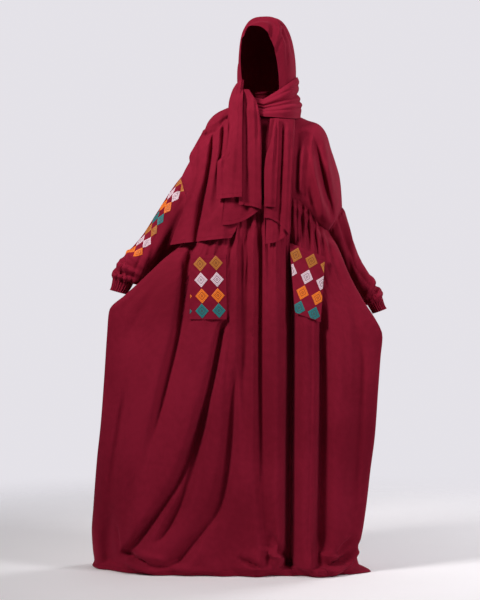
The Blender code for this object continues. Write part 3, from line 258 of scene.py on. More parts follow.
# Both ends of each armhole
RIGHT_ENDS = (FRONT_YOKE_TOP[0], UNDERARM_RIGHT)
LEFT_ENDS = (FRONT_YOKE_TOP[-1], UNDERARM_LEFT)
UNDERARM_EASE = 0.001
UNDERARM_TUCK = 0.005
UNDERARM_SHARPNESS = 4
ARMHOLE_FRONT_DEPTH = 0.045
ARMHOLE_BACK_DEPTH = 0.062
ARMHOLE_ROUNDING = 0.8
ARMHOLE_REACH = 0.30
YOKE_ROW_POWER = 1.5
# Shares of a yoke over which its folds fade in from the armholes, the upper edge and the foot
YOKE_ROOM = (0.08, 0.12, 0.10)
# Folds of the front and the back yoke, positive into the dress, same columns as the skirt
YOKE_FOLDS = (
    (-0.010, 0.009, 0.010, -0.080, -0.252, 0.126, 0.120, 0.116, 0.114, 0.05, 0.02),
    (-0.012, 0.010, 0.010, -0.110, -0.325, 0.146, 0.158, 0.170, 0.180, 0.06, 0.02),
    (0.010, 0.009, 0.009, -0.060, -0.300, 0.166, 0.178, 0.190, 0.196, 0.05, 0.06),
    (0.008, 0.008, 0.008, -0.050, -0.200, 0.140, 0.136, 0.138, 0.142, 0.04, 0.06),
    (-0.008, 0.009, 0.009, -0.080, -0.252, -0.124, -0.118, -0.114, -0.112, 0.05, 0.02),
    (0.008, 0.009, 0.009, -0.060, -0.300, -0.150, -0.166, -0.180, -0.190, 0.05, 0.06),
    (0.005, 0.006, 0.007, -0.030, -0.250, 0.112, 0.106, 0.103, 0.102, 0.05, 0.03),
    (-0.009, 0.011, 0.013, -0.090, -0.340, 0.128, 0.146, 0.174, 0.202, 0.06, 0.02),
    (0.015, 0.008, 0.011, -0.060, -0.335, 0.154, 0.176, 0.197, 0.222, 0.05, 0.02, 0.3),
    (-0.006, 0.009, 0.010, -0.120, -0.300, 0.186, 0.206, 0.222, 0.236, 0.05, 0.04),
    (-0.005, 0.008, 0.010, -0.200, -0.320, 0.190, 0.192, 0.196, 0.200, 0.04, 0.04),
    (0.006, 0.007, 0.009, -0.215, -0.290, 0.140, 0.144, 0.150, 0.158, 0.03, 0.02),
    (-0.004, 0.007, 0.008, -0.060, -0.200, 0.186, 0.196, 0.204, 0.208, 0.04, 0.05),
    (0.004, 0.006, 0.007, -0.070, -0.290, 0.200, 0.212, 0.220, 0.224, 0.04, 0.05),
    (-0.0035, 0.006, 0.007, -0.040, -0.150, 0.154, 0.152, 0.150, 0.150, 0.03, 0.05),
    (0.003, 0.005, 0.006, -0.200, -0.270, 0.124, 0.124, 0.126, 0.128, 0.03, 0.02),
    (0.003, 0.005, 0.006, -0.240, -0.320, 0.150, 0.154, 0.160, 0.166, 0.03, 0.02),
    (0.004, 0.007, 0.008, -0.060, -0.250, -0.060, -0.062, -0.066, -0.070, 0.04, 0.04),
    (0.004, 0.007, 0.008, -0.060, -0.250, 0.060, 0.062, 0.066, 0.070, 0.04, 0.04),
)
BACK_YOKE_FOLDS = (
    (0.006, 0.010, 0.012, -0.040, -0.250, -0.120, -0.124, -0.130, -0.136, 0.06, 0.04),
    (0.006, 0.010, 0.012, -0.040, -0.250, 0.120, 0.124, 0.130, 0.136, 0.06, 0.04),
    (-0.005, 0.010, 0.014, -0.060, -0.250, -0.080, -0.082, -0.086, -0.090, 0.06, 0.04),
    (-0.005, 0.010, 0.014, -0.060, -0.250, 0.084, 0.086, 0.088, 0.090, 0.06, 0.04),
    (0.004, 0.010, 0.014, -0.090, -0.250, -0.036, -0.036, -0.034, -0.032, 0.06, 0.04),
    (0.004, 0.010, 0.014, -0.100, -0.250, 0.030, 0.032, 0.034, 0.036, 0.06, 0.04),
    (0.005, 0.009, 0.010, -0.080, -0.300, -0.160, -0.172, -0.184, -0.192, 0.05, 0.05),
    (0.005, 0.009, 0.010, -0.080, -0.300, 0.160, 0.172, 0.184, 0.192, 0.05, 0.05),
)

# Sleeve rings: x and z of the outer line, x and z of the inner line, y of the middle, half depth
RIGHT_SLEEVE = (
    (-0.251, -0.182, -0.207, -0.354, 0.010, 0.056),
    (-0.278, -0.218, -0.231, -0.385, 0.016, 0.060),
    (-0.324, -0.288, -0.270, -0.421, 0.016, 0.060),
    (-0.371, -0.362, -0.304, -0.451, 0.010, 0.056),
    (-0.402, -0.399, -0.329, -0.474, 0.000, 0.052),
    (-0.431, -0.429, -0.347, -0.493, -0.010, 0.048),
    (-0.450, -0.455, -0.362, -0.507, -0.018, 0.045),
    (-0.461, -0.484, -0.375, -0.517, -0.024, 0.040),
    (-0.460, -0.500, -0.398, -0.514, -0.026, 0.033),
)
LEFT_SLEEVE = (
    (0.251, -0.278, 0.198, -0.358, 0.010, 0.056),
    (0.258, -0.292, 0.200, -0.380, 0.020, 0.062),
    (0.267, -0.328, 0.216, -0.411, 0.026, 0.064),
    (0.281, -0.372, 0.236, -0.448, 0.026, 0.060),
    (0.301, -0.425, 0.258, -0.495, 0.022, 0.056),
    (0.325, -0.472, 0.288, -0.535, 0.014, 0.050),
    (0.350, -0.512, 0.306, -0.560, 0.004, 0.046),
    (0.369, -0.541, 0.312, -0.578, -0.004, 0.042),
    (0.373, -0.560, 0.327, -0.580, -0.010, 0.034),
)
# Cuff rings, same columns
RIGHT_CUFF = (
    (-0.4601, -0.5006, -0.3981, -0.5146, -0.026, 0.033),
    (-0.462, -0.513, -0.405, -0.527, -0.027, 0.029),
    (-0.464, -0.524, -0.412, -0.538, -0.028, 0.028),
    (-0.468, -0.533, -0.417, -0.547, -0.029, 0.030),
)
LEFT_CUFF = (
    (0.3731, -0.5606, 0.3271, -0.5806, -0.010, 0.034),
    (0.376, -0.572, 0.333, -0.590, -0.012, 0.029),
    (0.379, -0.582, 0.338, -0.598, -0.014, 0.028),
    (0.384, -0.590, 0.342, -0.606, -0.016, 0.030),
)
SLEEVE_PUFF = 0.02
PUFF_TURNS = 3
PUFF_SLANT = 5

# Hoops of the hood, from the edge of its opening over the crown to the nape
# middle x y z, half width, right end x y z, left end x y z
HOOPS = (
    (-0.025, -0.088, 0.270, 0.063, -0.056, -0.074, 0.058, 0.050, -0.080, 0.070),
    (-0.006, -0.068, 0.289, 0.080, -0.062, -0.060, 0.052, 0.078, -0.064, 0.066),
    (0.002, -0.036, 0.3055, 0.088, -0.068, -0.040, 0.049, 0.094, -0.044, 0.064),
    (0.009, 0.004, 0.3125, 0.092, -0.072, -0.016, 0.046, 0.104, -0.020, 0.062),
    (0.014, 0.044, 0.306, 0.094, -0.072, 0.010, 0.048, 0.106, 0.010, 0.060),
    (0.019, 0.082, 0.282, 0.090, -0.066, 0.034, 0.052, 0.100, 0.034, 0.061),
    (0.022, 0.110, 0.236, 0.083, -0.056, 0.054, 0.058, 0.088, 0.054, 0.064),
    (0.024, 0.118, 0.182, 0.075, -0.043, 0.068, 0.066, 0.075, 0.069, 0.070),
    (0.024, 0.112, 0.132, 0.064, -0.029, 0.078, 0.071, 0.060, 0.079, 0.073),
    (0.023, 0.104, 0.098, 0.050, -0.014, 0.086, 0.074, 0.044, 0.086, 0.075),
)
# share of the way from the opening to the nape, squareness of the hoop
HOOP_SQUARENESS = ((0.0, 0.80), (0.11, 0.66), (1.0, 0.66))
HOOP_WIDENING = 0.5
HOOP_SWEEP = 1.2

# Upper and lower edge of the stretch round the neck, from the front round by the left
# turn in degrees, x, y, z of the upper edge, x, y, z of the lower edge
NECK_WRAP = (
    (0, 0.002, -0.096, 0.046, 0.006, -0.132, -0.012),
    (25, 0.046, -0.092, 0.072, 0.056, -0.122, -0.013),
    (55, 0.091, -0.066, 0.104, 0.098, -0.082, -0.008),
    (90, 0.1135, -0.008, 0.126, 0.119, -0.018, 0.007),
    (130, 0.109, 0.080, 0.128, 0.113, 0.076, 0.024),
    (180, 0.020, 0.132, 0.122, 0.010, 0.134, 0.040),
    (230, -0.062, 0.084, 0.110, -0.078, 0.084, 0.044),
    (270, -0.083, 0.004, 0.092, -0.096, 0.000, 0.048),
    (305, -0.076, -0.070, 0.072, -0.080, -0.078, 0.030),
    (335, -0.038, -0.096, 0.054, -0.040, -0.118, -0.002),
    (360, 0.002, -0.096, 0.046, 0.006, -0.132, -0.012),
)
WRAP_FOLD = 0.005
WRAP_WAVES = 3
WRAP_BULGE = 0.006
WRAP_ROUNDING = 0.7
GROOVE_SHARPNESS = 1.5
NECK_CENTRE = (0.012, 0.008, 0.0)

# Scarf ends and drape as they lie on what is beneath them
# share of the way down, x of the right side, z of the right side, x of the left side, z of the left side
DRAPE_OUTLINE = (
    (0.00, -0.181, -0.046, -0.088, 0.012),
    (0.12, -0.203, -0.088, -0.084, -0.040),
    (0.25, -0.223, -0.130, -0.080, -0.095),
    (0.42, -0.212, -0.184, -0.074, -0.160),
    (0.58, -0.226, -0.236, -0.070, -0.225),
    (0.72, -0.238, -0.284, -0.070, -0.285),
    (0.88, -0.266, -0.352, -0.078, -0.345),
    (1.00, -0.282, -0.396, -0.094, -0.378),
)
RIGHT_FRONT = (
    (0.00, -0.080, 0.096, -0.056, 0.104),
    (0.07, -0.092, 0.074, -0.058, 0.080),
    (0.18, -0.103, 0.030, -0.060, 0.034),
    (0.30, -0.105, -0.022, -0.061, -0.018),
    (0.45, -0.105, -0.075, -0.062, -0.070),
    (0.60, -0.113, -0.125, -0.062, -0.125),
    (0.68, -0.136, -0.152, -0.062, -0.150),
    (1.00, -0.139, -0.262, -0.062, -0.256),
)
# share of the way down, x of the open edge, x of the folded edge, x of the hidden open edge
RIGHT_BACK = (
    (0.00, -0.066, -0.040, -0.070),
    (0.12, -0.066, -0.016, -0.076),
    (0.30, -0.066, -0.006, -0.085),
    (0.55, -0.068, -0.003, -0.100),
    (1.00, -0.072, -0.002, -0.122),
)
RIGHT_BACK_TOP_Z = 0.072
RIGHT_BACK_HEMS = (-0.280, -0.292, -0.340)
LEFT_FRONT = (
    (0.00, 0.036, -0.018, 0.048, -0.018),
    (0.25, 0.024, -0.088, 0.047, -0.088),
    (0.45, 0.008, -0.140, 0.046, -0.140),
    (0.65, 0.004, -0.190, 0.043, -0.190),
    (1.00, 0.004, -0.285, 0.038, -0.288),
)
LEFT_BACK = (
    (0.00, 0.022, 0.098, 0.034),
    (0.25, 0.016, 0.095, 0.028),
    (0.60, 0.006, 0.087, 0.014),
    (1.00, 0.003, 0.082, 0.008),
)
LEFT_BACK_TOP_Z = -0.018
LEFT_BACK_HEMS = (-0.318, -0.366, -0.396)
LAYER_GAP = 0.003
CONTACT_GAP = 0.0006
TURN_RADIUS = 0.006
LAYER_REACH = 0.010
LAYER_ROUNDS = 12
REACH_SAMPLES = 5

# Folds of the scarf pieces, positive towards the viewer, same columns as the skirt
DRAPE_FOLDS = (
    (0.016, 0.010, 0.018, -0.060, -0.400, -0.165, -0.178, -0.205, -0.228, 0.04, 0.0),
    (0.014, 0.008, 0.016, -0.020, -0.400, -0.128, -0.140, -0.160, -0.170, 0.03, 0.0),
    (0.010, 0.008, 0.014, -0.060, -0.400, -0.200, -0.206, -0.236, -0.262, 0.04, 0.0),
    (0.012, 0.010, 0.016, -0.020, -0.400, -0.104, -0.110, -0.118, -0.122, 0.03, 0.0),
    (-0.010, 0.006, 0.010, -0.050, -0.400, -0.148, -0.163, -0.187, -0.203, 0.03, 0.0, -0.3),
    (0.008, 0.012, 0.020, -0.080, -0.400, -0.186, -0.198, -0.222, -0.244, 0.05, 0.0),
    (-0.006, 0.004, 0.006, -0.020, -0.220, -0.117, -0.121, -0.130, -0.139, 0.03, 0.07),
    (0.007, 0.010, 0.018, -0.180, -0.400, -0.138, -0.139, -0.142, -0.146, 0.06, 0.0),
    (-0.004, 0.005, 0.010, -0.180, -0.398, -0.216, -0.226, -0.244, -0.262, 0.05, 0.0),
    (-0.004, 0.004, 0.006, -0.010, -0.120, -0.160, -0.168, -0.176, -0.182, 0.02, 0.05),
)
RIGHT_FRONT_FOLDS = (
    (0.010, 0.008, 0.014, 0.060, -0.262, -0.080, -0.084, -0.090, -0.096, 0.03, 0.0),
    (0.006, 0.006, 0.010, -0.120, -0.262, -0.122, -0.126, -0.128, -0.128, 0.04, 0.0),
    (-0.004, 0.004, 0.009, -0.020, -0.180, -0.097, -0.102, -0.110, -0.119, 0.03, 0.03),
    (0.005, 0.009, 0.016, 0.060, -0.262, -0.066, -0.066, -0.068, -0.070, 0.03, 0.0),
    (0.003, 0.006, 0.012, -0.060, -0.262, -0.106, -0.108, -0.110, -0.112, 0.04, 0.0),
    (-0.003, 0.003, 0.005, 0.085, 0.010, -0.074, -0.080, -0.084, -0.086, 0.02, 0.03),
)
RIGHT_BACK_FOLDS = (
    (0.006, 0.006, 0.010, 0.060, -0.340, -0.030, -0.026, -0.026, -0.028, 0.04, 0.0),
    (-0.004, 0.004, 0.007, 0.050, -0.250, -0.050, -0.050, -0.050, -0.052, 0.04, 0.06),
    (0.003, 0.008, 0.012, -0.060, -0.340, -0.014, -0.013, -0.013, -0.014, 0.04, 0.0),
    (-0.0025, 0.003, 0.005, 0.040, -0.120, -0.022, -0.018, -0.016, -0.015, 0.02, 0.06),
)
LEFT_FRONT_FOLDS = (
    (0.007, 0.006, 0.010, -0.020, -0.290, 0.040, 0.032, 0.024, 0.022, 0.04, 0.0),
    (-0.004, 0.003, 0.005, -0.020, -0.180, 0.044, 0.040, 0.037, 0.035, 0.04, 0.06),
    (0.0025, 0.004, 0.007, -0.100, -0.290, 0.016, 0.014, 0.013, 0.012, 0.04, 0.0),
)
LEFT_BACK_FOLDS = (
    (0.009, 0.007, 0.012, -0.020, -0.400, 0.078, 0.074, 0.068, 0.062, 0.04, 0.0),
    (-0.008, 0.004, 0.007, -0.020, -0.400, 0.060, 0.057, 0.053, 0.050, 0.04, 0.0),
    (0.004, 0.005, 0.007, -0.020, -0.400, 0.090, 0.088, 0.083, 0.078, 0.04, 0.0),
    (0.004, 0.006, 0.010, -0.020, -0.400, 0.040, 0.036, 0.028, 0.022, 0.04, 0.0),
)

# Pocket corners as x and z: top right, top left, foot right, foot left of the wearer
RIGHT_POCKET = ((-0.216, -0.430), (-0.110, -0.428), (-0.220, -0.622), (-0.108, -0.622))
LEFT_POCKET = ((0.080, -0.392), (0.188, -0.436), (0.096, -0.603), (0.173, -0.630))
POCKET_REACH = 0.012

# Rows and columns of the pieces
SKIRT_ROWS = 124
SKIRT_STEPS_PER_GATHER = 14
SKIRT_TIP_STEPS = 12
# share of the rows, share of the way down
SKIRT_ROW_PLACES = ((0.0, 0.0), (0.16, 0.05), (0.30, 0.16), (0.82, 0.87), (0.92, 0.95), (1.0, 1.0))
YOKE_ROWS = 80
YOKE_STEPS = 8
SLEEVE_ROWS = 110
SLEEVE_COLUMNS = 110
CUFF_ROWS = 34
CUFF_COLUMNS = 132
HOOD_ROWS = 110
HOOD_COLUMNS = 121
WRAP_ROWS = 52
WRAP_COLUMNS = 200
POCKET_GRID = (90, 64)
DRAPE_GRID = (110, 120)
RIGHT_FRONT_GRID = (100, 48)
RIGHT_BACK_GRID = (100, 40)
LEFT_FRONT_GRID = (80, 36)
LEFT_BACK_GRID = (100, 40)
TURN_STEPS = 15
REST_ROWS = 16
REST_COLUMNS = 14
SHARP_ANGLE = 60

# Ridges and troughs along short lines, as they are seen from the front
# height, half width, x and z of one end, x and z of the other
YOKE_LINES = (
    (0.008, 0.009, -0.104, 0.014, -0.146, -0.030),
    (0.008, 0.009, -0.146, -0.030, -0.176, -0.044),
)
DRAPE_LINES = (
    (0.004, 0.006, -0.098, 0.004, -0.122, -0.014),
    (0.004, 0.006, -0.122, -0.014, -0.172, -0.044),
    (-0.006, 0.005, -0.092, -0.008, -0.114, -0.014),
    (-0.006, 0.005, -0.114, -0.014, -0.146, -0.052),
    (-0.006, 0.005, -0.146, -0.052, -0.184, -0.062),
)
HOOD_LINES = (
    (-0.005, 0.0035, 0.043, 0.307, 0.068, 0.276),
    (-0.0055, 0.0035, 0.068, 0.276, 0.086, 0.236),
    (-0.004, 0.0035, 0.086, 0.236, 0.094, 0.190),
    (-0.0035, 0.004, 0.030, 0.288, 0.060, 0.262),
    (-0.004, 0.0045, 0.060, 0.262, 0.074, 0.222),
    (-0.003, 0.005, 0.074, 0.222, 0.078, 0.140),
)
SKIRT_LINES = (
    (0.020, 0.009, 0.150, -1.388, 0.258, -1.372),
    (0.018, 0.008, 0.258, -1.372, 0.292, -1.325),
    (-0.022, 0.009, 0.196, -1.366, 0.262, -1.345),
    (0.014, 0.009, 0.170, -1.335, 0.236, -1.346),
    (-0.014, 0.008, 0.230, -1.330, 0.276, -1.290),
    (-0.016, 0.008, -0.068, -1.346, -0.002, -1.370),
    (0.014, 0.009, -0.002, -1.315, 0.077, -1.352),
    (-0.018, 0.009, 0.030, -1.280, 0.086, -1.368),
    (0.014, 0.010, -0.408, -1.366, -0.320, -1.388),
    (-0.018, 0.008, -0.424, -1.334, -0.345, -1.368),
    (-0.010, 0.007, -0.345, -1.368, -0.250, -1.372),
    (0.010, 0.009, -0.380, -1.330, -0.290, -1.350),
    (0.007, 0.008, -0.290, -1.372, -0.160, -1.384),
    (-0.006, 0.006, -0.446, -1.256, -0.440, -1.330),
)
RIGHT_SLEEVE_LINES = (
    (0.006, 0.008, -0.430, -0.400, -0.372, -0.462),
    (-0.006, 0.006, -0.446, -0.432, -0.390, -0.470),
    (0.007, 0.008, -0.456, -0.448, -0.378, -0.486),
    (-0.007, 0.006, -0.462, -0.470, -0.396, -0.494),
    (0.006, 0.007, -0.468, -0.484, -0.410, -0.500),
    (-0.006, 0.010, -0.300, -0.300, -0.352, -0.420),
    (0.006, 0.012, -0.290, -0.340, -0.336, -0.432),
)
LEFT_SLEEVE_LINES = (
    (0.007, 0.009, 0.252, -0.285, 0.300, -0.440),
    (-0.008, 0.008, 0.236, -0.310, 0.286, -0.462),
    (0.006, 0.009, 0.300, -0.440, 0.346, -0.512),
    (-0.006, 0.007, 0.286, -0.462, 0.340, -0.530),
    (0.007, 0.008, 0.352, -0.498, 0.318, -0.556),
    (-0.007, 0.006, 0.364, -0.520, 0.320, -0.566),
    (0.007, 0.007, 0.378, -0.536, 0.330, -0.574),
)

# Soft ridges and troughs of the sleeves and the hood
# height, places round and along of its middle, half length, half width, degrees from round
RIGHT_SLEEVE_CREASES = (
    (0.005, 0.070, 0.300, 0.060, 0.008, 12),
    (-0.005, 0.060, 0.316, 0.060, 0.007, 10),
    (0.006, 0.080, 0.332, 0.070, 0.008, 6),
    (-0.005, 0.050, 0.348, 0.060, 0.006, -4),
    (0.005, 0.070, 0.360, 0.070, 0.007, -8),
    (0.004, 0.100, 0.210, 0.080, 0.010, 50),
    (-0.004, 0.080, 0.230, 0.080, 0.009, 55),
    (0.004, 0.060, 0.130, 0.090, 0.012, 70),
    (-0.004, 0.110, 0.110, 0.090, 0.010, 72),
    (0.005, 0.290, 0.310, 0.050, 0.008, -15),
    (-0.005, 0.280, 0.328, 0.060, 0.007, -10),
    (0.005, 0.270, 0.345, 0.050, 0.007, 0),
    (0.004, 0.250, 0.160, 0.090, 0.012, -60),
    (-0.004, 0.220, 0.180, 0.090, 0.010, -65),
    (0.003, 0.140, 0.060, 0.050, 0.008, 80),
    (-0.003, 0.020, 0.050, 0.050, 0.008, 84),
)
LEFT_SLEEVE_CREASES = (
    (0.005, 0.060, 0.100, 0.100, 0.009, 80),
    (-0.006, 0.085, 0.120, 0.100, 0.008, 82),
    (0.005, 0.110, 0.130, 0.090, 0.009, 85),
    (-0.004, 0.035, 0.140, 0.090, 0.008, 84),
    (0.005, 0.060, 0.262, 0.050, 0.008, 10),
    (-0.005, 0.070, 0.278, 0.055, 0.007, 4),
    (0.006, 0.060, 0.292, 0.060, 0.007, -6),
    (-0.004, 0.050, 0.306, 0.050, 0.006, -8),
    (0.005, 0.280, 0.250, 0.060, 0.009, -20),
    (-0.005, 0.270, 0.268, 0.060, 0.008, -12),
    (0.005, 0.290, 0.286, 0.060, 0.007, 0),
    (0.004, 0.240, 0.140, 0.090, 0.012, -65),
    (-0.004, 0.210, 0.150, 0.090, 0.010, -70),
)
HOOD_CREASES = (
    (0.003, 0.300, 0.040, 0.060, 0.006, 70),
    (-0.003, 0.316, 0.052, 0.070, 0.005, 72),
    (0.003, 0.250, 0.030, 0.050, 0.005, 60),
    (-0.0025, 0.405, 0.060, 0.070, 0.006, 35),
    (0.003, 0.430, 0.090, 0.080, 0.008, 25),
    (-0.003, 0.440, 0.120, 0.080, 0.007, 10),
    (0.003, 0.070, 0.060, 0.070, 0.007, -30),
    (-0.003, 0.060, 0.090, 0.080, 0.007, -20),
    (0.0035, 0.060, 0.130, 0.090, 0.008, -8),
    (-0.003, 0.250, 0.300, 0.100, 0.008, 4),
    (0.0035, 0.260, 0.330, 0.120, 0.009, -4),
    (-0.0035, 0.230, 0.355, 0.120, 0.008, 3),
    (0.0035, 0.260, 0.380, 0.120, 0.009, -3),
)
# Grooves round the wrap
# depth, place down the wrap, swing of that place, turn in degrees at which it is level, half width
WRAP_GROOVES = (
    (0.0055, 0.16, 0.05, 20, 0.045),
    (0.007, 0.36, 0.07, -10, 0.045),
    (0.007, 0.57, 0.06, 40, 0.045),
    (0.0055, 0.78, 0.05, 90, 0.045),
)

# Cloth colours, linear
CREPE_DARK = (0.150, 0.0062, 0.0175, 1.0)
CREPE_LIGHT = (0.225, 0.0105, 0.0290, 1.0)
STITCH_COLOUR = (0.110, 0.004, 0.012, 1.0)
THREADS = {
    "gold": (0.500, 0.170, 0.030, 1.0),
    "lilac": (0.760, 0.570, 0.640, 1.0),
    "orange": (0.880, 0.190, 0.016, 1.0),
    "teal": (0.007, 0.190, 0.200, 1.0),
}
# Plain settings of the shaders
CREPE_SURFACE = {
    "Specular IOR Level": 0.01,
    "Sheen Weight": 0.12,
    "Sheen Roughness": 0.45,
    "Sheen Tint": (1.0, 0.16, 0.28, 1.0),
}
THREAD_SURFACE = {"Roughness": 0.48, "Specular IOR Level": 0.20, "Sheen Weight": 0.05}
FLOOR_SURFACE = {"Roughness": 0.9, "Specular IOR Level": 0.1}
# Noises: size of a grain, detail, roughness
PEBBLE = (0.0011, 3.0, 0.7)
SLUB = (0.020, 4.0, 0.6)
CLOUD = (0.25, 2.0, 0.5)
STRAND = (0.0012, 4.0, 0.7)
FLOOR_GRAIN = (1 / 6, 3.0, 0.5)
# Weave and its flecks
THREAD_PITCH = 0.0012
CLOUD_SHARE = 0.65
SLUB_SHARE = 0.35
SHADE_RANGE = (0.30, 0.70)
WEAVE_IN_FLECKS = 0.12
FLECK_RANGE = (0.35, 0.65)
FLECK_STRENGTH = 0.25
CREPE_ROUGHNESS = (0.62, 0.74)
WEAVE_RISE = 0.00004
PEBBLE_RISE = 0.00016
BUMP_STRENGTH = 0.6
# Embroidery thread
THREAD_RISE = 0.0003
# Share of the thread colour at its dark end: random tone along the strands, and painted shade in the troughs
# between the raised rings
THREAD_TONE_AND_TROUGH_SHADE = 0.45
THREAD_RANGE = (0.25, 0.75)
RIDGE_COVERED = 0.9
GROUND_SHOWING = 0.32
# Hems
HEM_WIDTH = 0.012
HEM_RISE = 0.0003
STITCH_WIDTH = 0.001
STITCH_PITCH = 0.0035
STITCH_SHARE = 0.62
STITCH_RISE = 0.0002
FAR = 1.0

# Gathers, the pool on the floor and other cloth detail
GATHER_WANDER = 0.9
GATHER_UNEVEN = 6.0
GATHER_SHARPNESS = 0.25
GATHER_LENGTH_SPREAD = 0.45
GATHER_SIZE_SPREAD = 0.45
GATHER_SIDE_KEPT = 0.10
GATHER_SIDE_END = 0.42
POOL_START = 0.93
POOL_WAVE = 0.010
POOL_LIFT = 0.006
POOL_EDGE = 0.02
POOL_UNEVEN = 2.4
TOP_GATHER = 0.6
SEAM_BLEND = 0.10
# waves round, share of the radius, reach from the armhole, reach from the cuff
SLEEVE_GATHERS = (17, 0.040, 0.22, 0.28)
CUFF_GATHERS = (24, 0.060, 2.0, 2.0)
CUFF_TUCK = 0.006
CUFF_TUCK_SHARE = 0.90
HEM_TURN = 2.2
POCKET_MOUTH = 0.004
POCKET_MOUTH_REACH = 0.25
# Rate and share of the phase of each wave of an uneven line
WOBBLES = ((5.1, 1.0), (11.7, 1.9), (23.3, 0.7))
# Share of its height that a short line keeps at its ends, and how soon it fades away from the front
LINE_END = 0.4
LINE_FACING = 2

# Embroidered diamonds
DIAMOND_STEPS = 29
DIAMOND_RINGS = 3
DIAMOND_HALF_WIDTH = 0.0185
DIAMOND_HALF_HEIGHT = 0.0235
DIAMOND_BASE = 0.0004
DIAMOND_RIDGE = 0.0007
DIAMOND_SINK = 0.0003
DIAMOND_EDGE = 0.05
DIAMOND_FILL = (0.82, 0.96)
POCKET_CLEAR = 0.01
QUAD_ROUNDS = 8
QUAD_STEP = 0.001
STRIP_ROWS = 7
STRIP_START = 0.012
STRIP_STEP = 0.0445
STRIP_ROUND = 0.031
STRIP_ACROSS = 0.037
STRIP_CLEAR = 0.003
STRIP_SKEW = 0.45
STRIP_NARROWING = 0.32
# One step of each pocket's lattice across and down, as x and z
RIGHT_POCKET_ACROSS = (0.050, 0.001)
RIGHT_POCKET_DOWN = (0.0025, -0.0478)
LEFT_POCKET_ACROSS = (0.0458, -0.0178)
LEFT_POCKET_DOWN = (-0.014, -0.047)
# thread, x and z of the middle
RIGHT_POCKET_DIAMONDS = (
    ("gold", -0.188, -0.4562),
    ("gold", -0.1401, -0.4532),
    ("lilac", -0.185, -0.5041),
    ("lilac", -0.1371, -0.5026),
    ("orange", -0.182, -0.5521),
    ("orange", -0.1341, -0.5506),
    ("teal", -0.182, -0.597),
    ("teal", -0.1311, -0.5958),
    ("orange", -0.232, -0.5531),
    ("teal", -0.232, -0.598),
)
LEFT_POCKET_DIAMONDS = (
    ("gold", 0.0997, -0.4291),
    ("gold", 0.1461, -0.4471),
    ("gold", 0.1915, -0.464),
    ("lilac", 0.0845, -0.477),
    ("lilac", 0.1323, -0.4951),
    ("lilac", 0.1785, -0.513),
    ("orange", 0.0735, -0.526),
    ("orange", 0.1191, -0.5418),
    ("orange", 0.1641, -0.558),
    ("teal", 0.1083, -0.588),
    ("teal", 0.153, -0.606),
)

# Cloth of each node
# slot, closed ring, hem, flat width and length of what shows, how it is held, what it rests on
CLOTHS = {
    "skirt_front": ("crepe", False, "foot", (1.15, 1.16), "gathered", "yoke_front"),
    "skirt_back": ("crepe", False, "foot", (1.15, 1.16), "gathered", "yoke_back"),
    "yoke_front": ("crepe", False, None, (0.56, 0.38), "hung", "scarf_neck_wrap"),
    "yoke_back": ("crepe", False, None, (0.56, 0.40), "hung", "yoke_front"),
    "sleeve_right": ("crepe", True, None, (0.36, 0.34), "gathered", "yoke_front"),
    "sleeve_left": ("crepe", True, None, (0.36, 0.30), "gathered", "yoke_front"),
    "cuff_right": ("crepe", True, None, (0.19, 0.05), "gathered", "sleeve_right"),
    "cuff_left": ("crepe", True, None, (0.17, 0.05), "gathered", "sleeve_left"),
    "pocket_right": ("embroidered_crepe", False, "top", (0.11, 0.195), "laid", "skirt_front"),
    "pocket_left": ("embroidered_crepe", False, "top", (0.10, 0.20), "laid", "skirt_front"),
    "scarf_hood": ("scarf_crepe", False, None, (0.50, 0.27), "draped", "scarf_neck_wrap"),
    "scarf_neck_wrap": ("scarf_crepe", True, None, (0.68, 0.12), "folded", "yoke_front yoke_back"),
    "scarf_shoulder_drape": ("scarf_crepe", False, "foot", (0.20, 0.40), "draped", "yoke_front skirt_front"),
    "scarf_end_right_back": ("scarf_crepe", False, "foot", (0.16, 0.38), "folded", "scarf_shoulder_drape"),
    "scarf_end_right_front": ("scarf_crepe", False, "foot", (0.07, 0.34), "draped", "scarf_end_right_back"),
    "scarf_end_left_back": ("scarf_crepe", False, "foot", (0.16, 0.36), "folded", "yoke_front"),
    "scarf_end_left_front": ("scarf_crepe", False, "foot", (0.04, 0.28), "draped", "scarf_end_left_back"),
}

# Stage
LENS = 87.1
SENSOR = 36.0
CLIP_END = 60
CAMERA = (-0.0682, -4.5, -0.564)
BACKDROP = (0.780, 0.762, 0.808, 1.0)
ROOM_LIGHT = 0.10
FLOOR_TOP = -1.399
FLOOR_RADIUS = 2.6
FLOOR_SOLID = 0.7
FLOOR_DARK = (0.93, 0.905, 0.93, 1.0)
FLOOR_LIGHT = (0.95, 0.925, 0.95, 1.0)
# name, width and height, watts, spread in degrees, place, aim, colour
LIGHTS = (
    ("key", (0.7, 0.7), 27, 90, (-1.95, -1.6, 1.35), (-0.07, 0.0, 0.15), (1.0, 0.98, 0.96)),
    ("accent", (0.5, 0.9), 10, 180, (1.45, -1.1, 0.35), (0.2, 0.0, -0.25), (1.0, 0.97, 0.98)),
    ("fill", (1.0, 2.0), 11.5, 90, (2.5, -1.9, 1.1), (-0.07, 0.0, 0.0), (0.96, 0.98, 1.0)),
    ("rim", (1.0, 1.4), 50, 180, (2.5, 1.6, 0.6), (0.75, 0.3, -1.3), (1.0, 0.99, 1.0)),
    ("top", (1.8, 1.0), 16, 180, (0.0, 0.4, 2.4), (-0.07, 0.0, -0.4), (1.0, 1.0, 1.0)),
)


def uneven(t, phase):
    """A smooth wobble between -1 and 1."""
    return sum(np.sin(rate * t + share * phase) for rate, share in WOBBLES) / len(WOBBLES)


def shares(count):
    """Even shares from 0 to 1."""
    return np.linspace(0, 1, count)


def stacked(*parts):
    """Arrays side by side on a new last axis, such as the coordinates of a grid of points."""
    return np.stack(np.broadcast_arrays(*parts), axis=-1)


def closed(grid):
    """A grid with its first column again at the end."""
    return np.concatenate([grid, grid[:, :1]], axis=1)


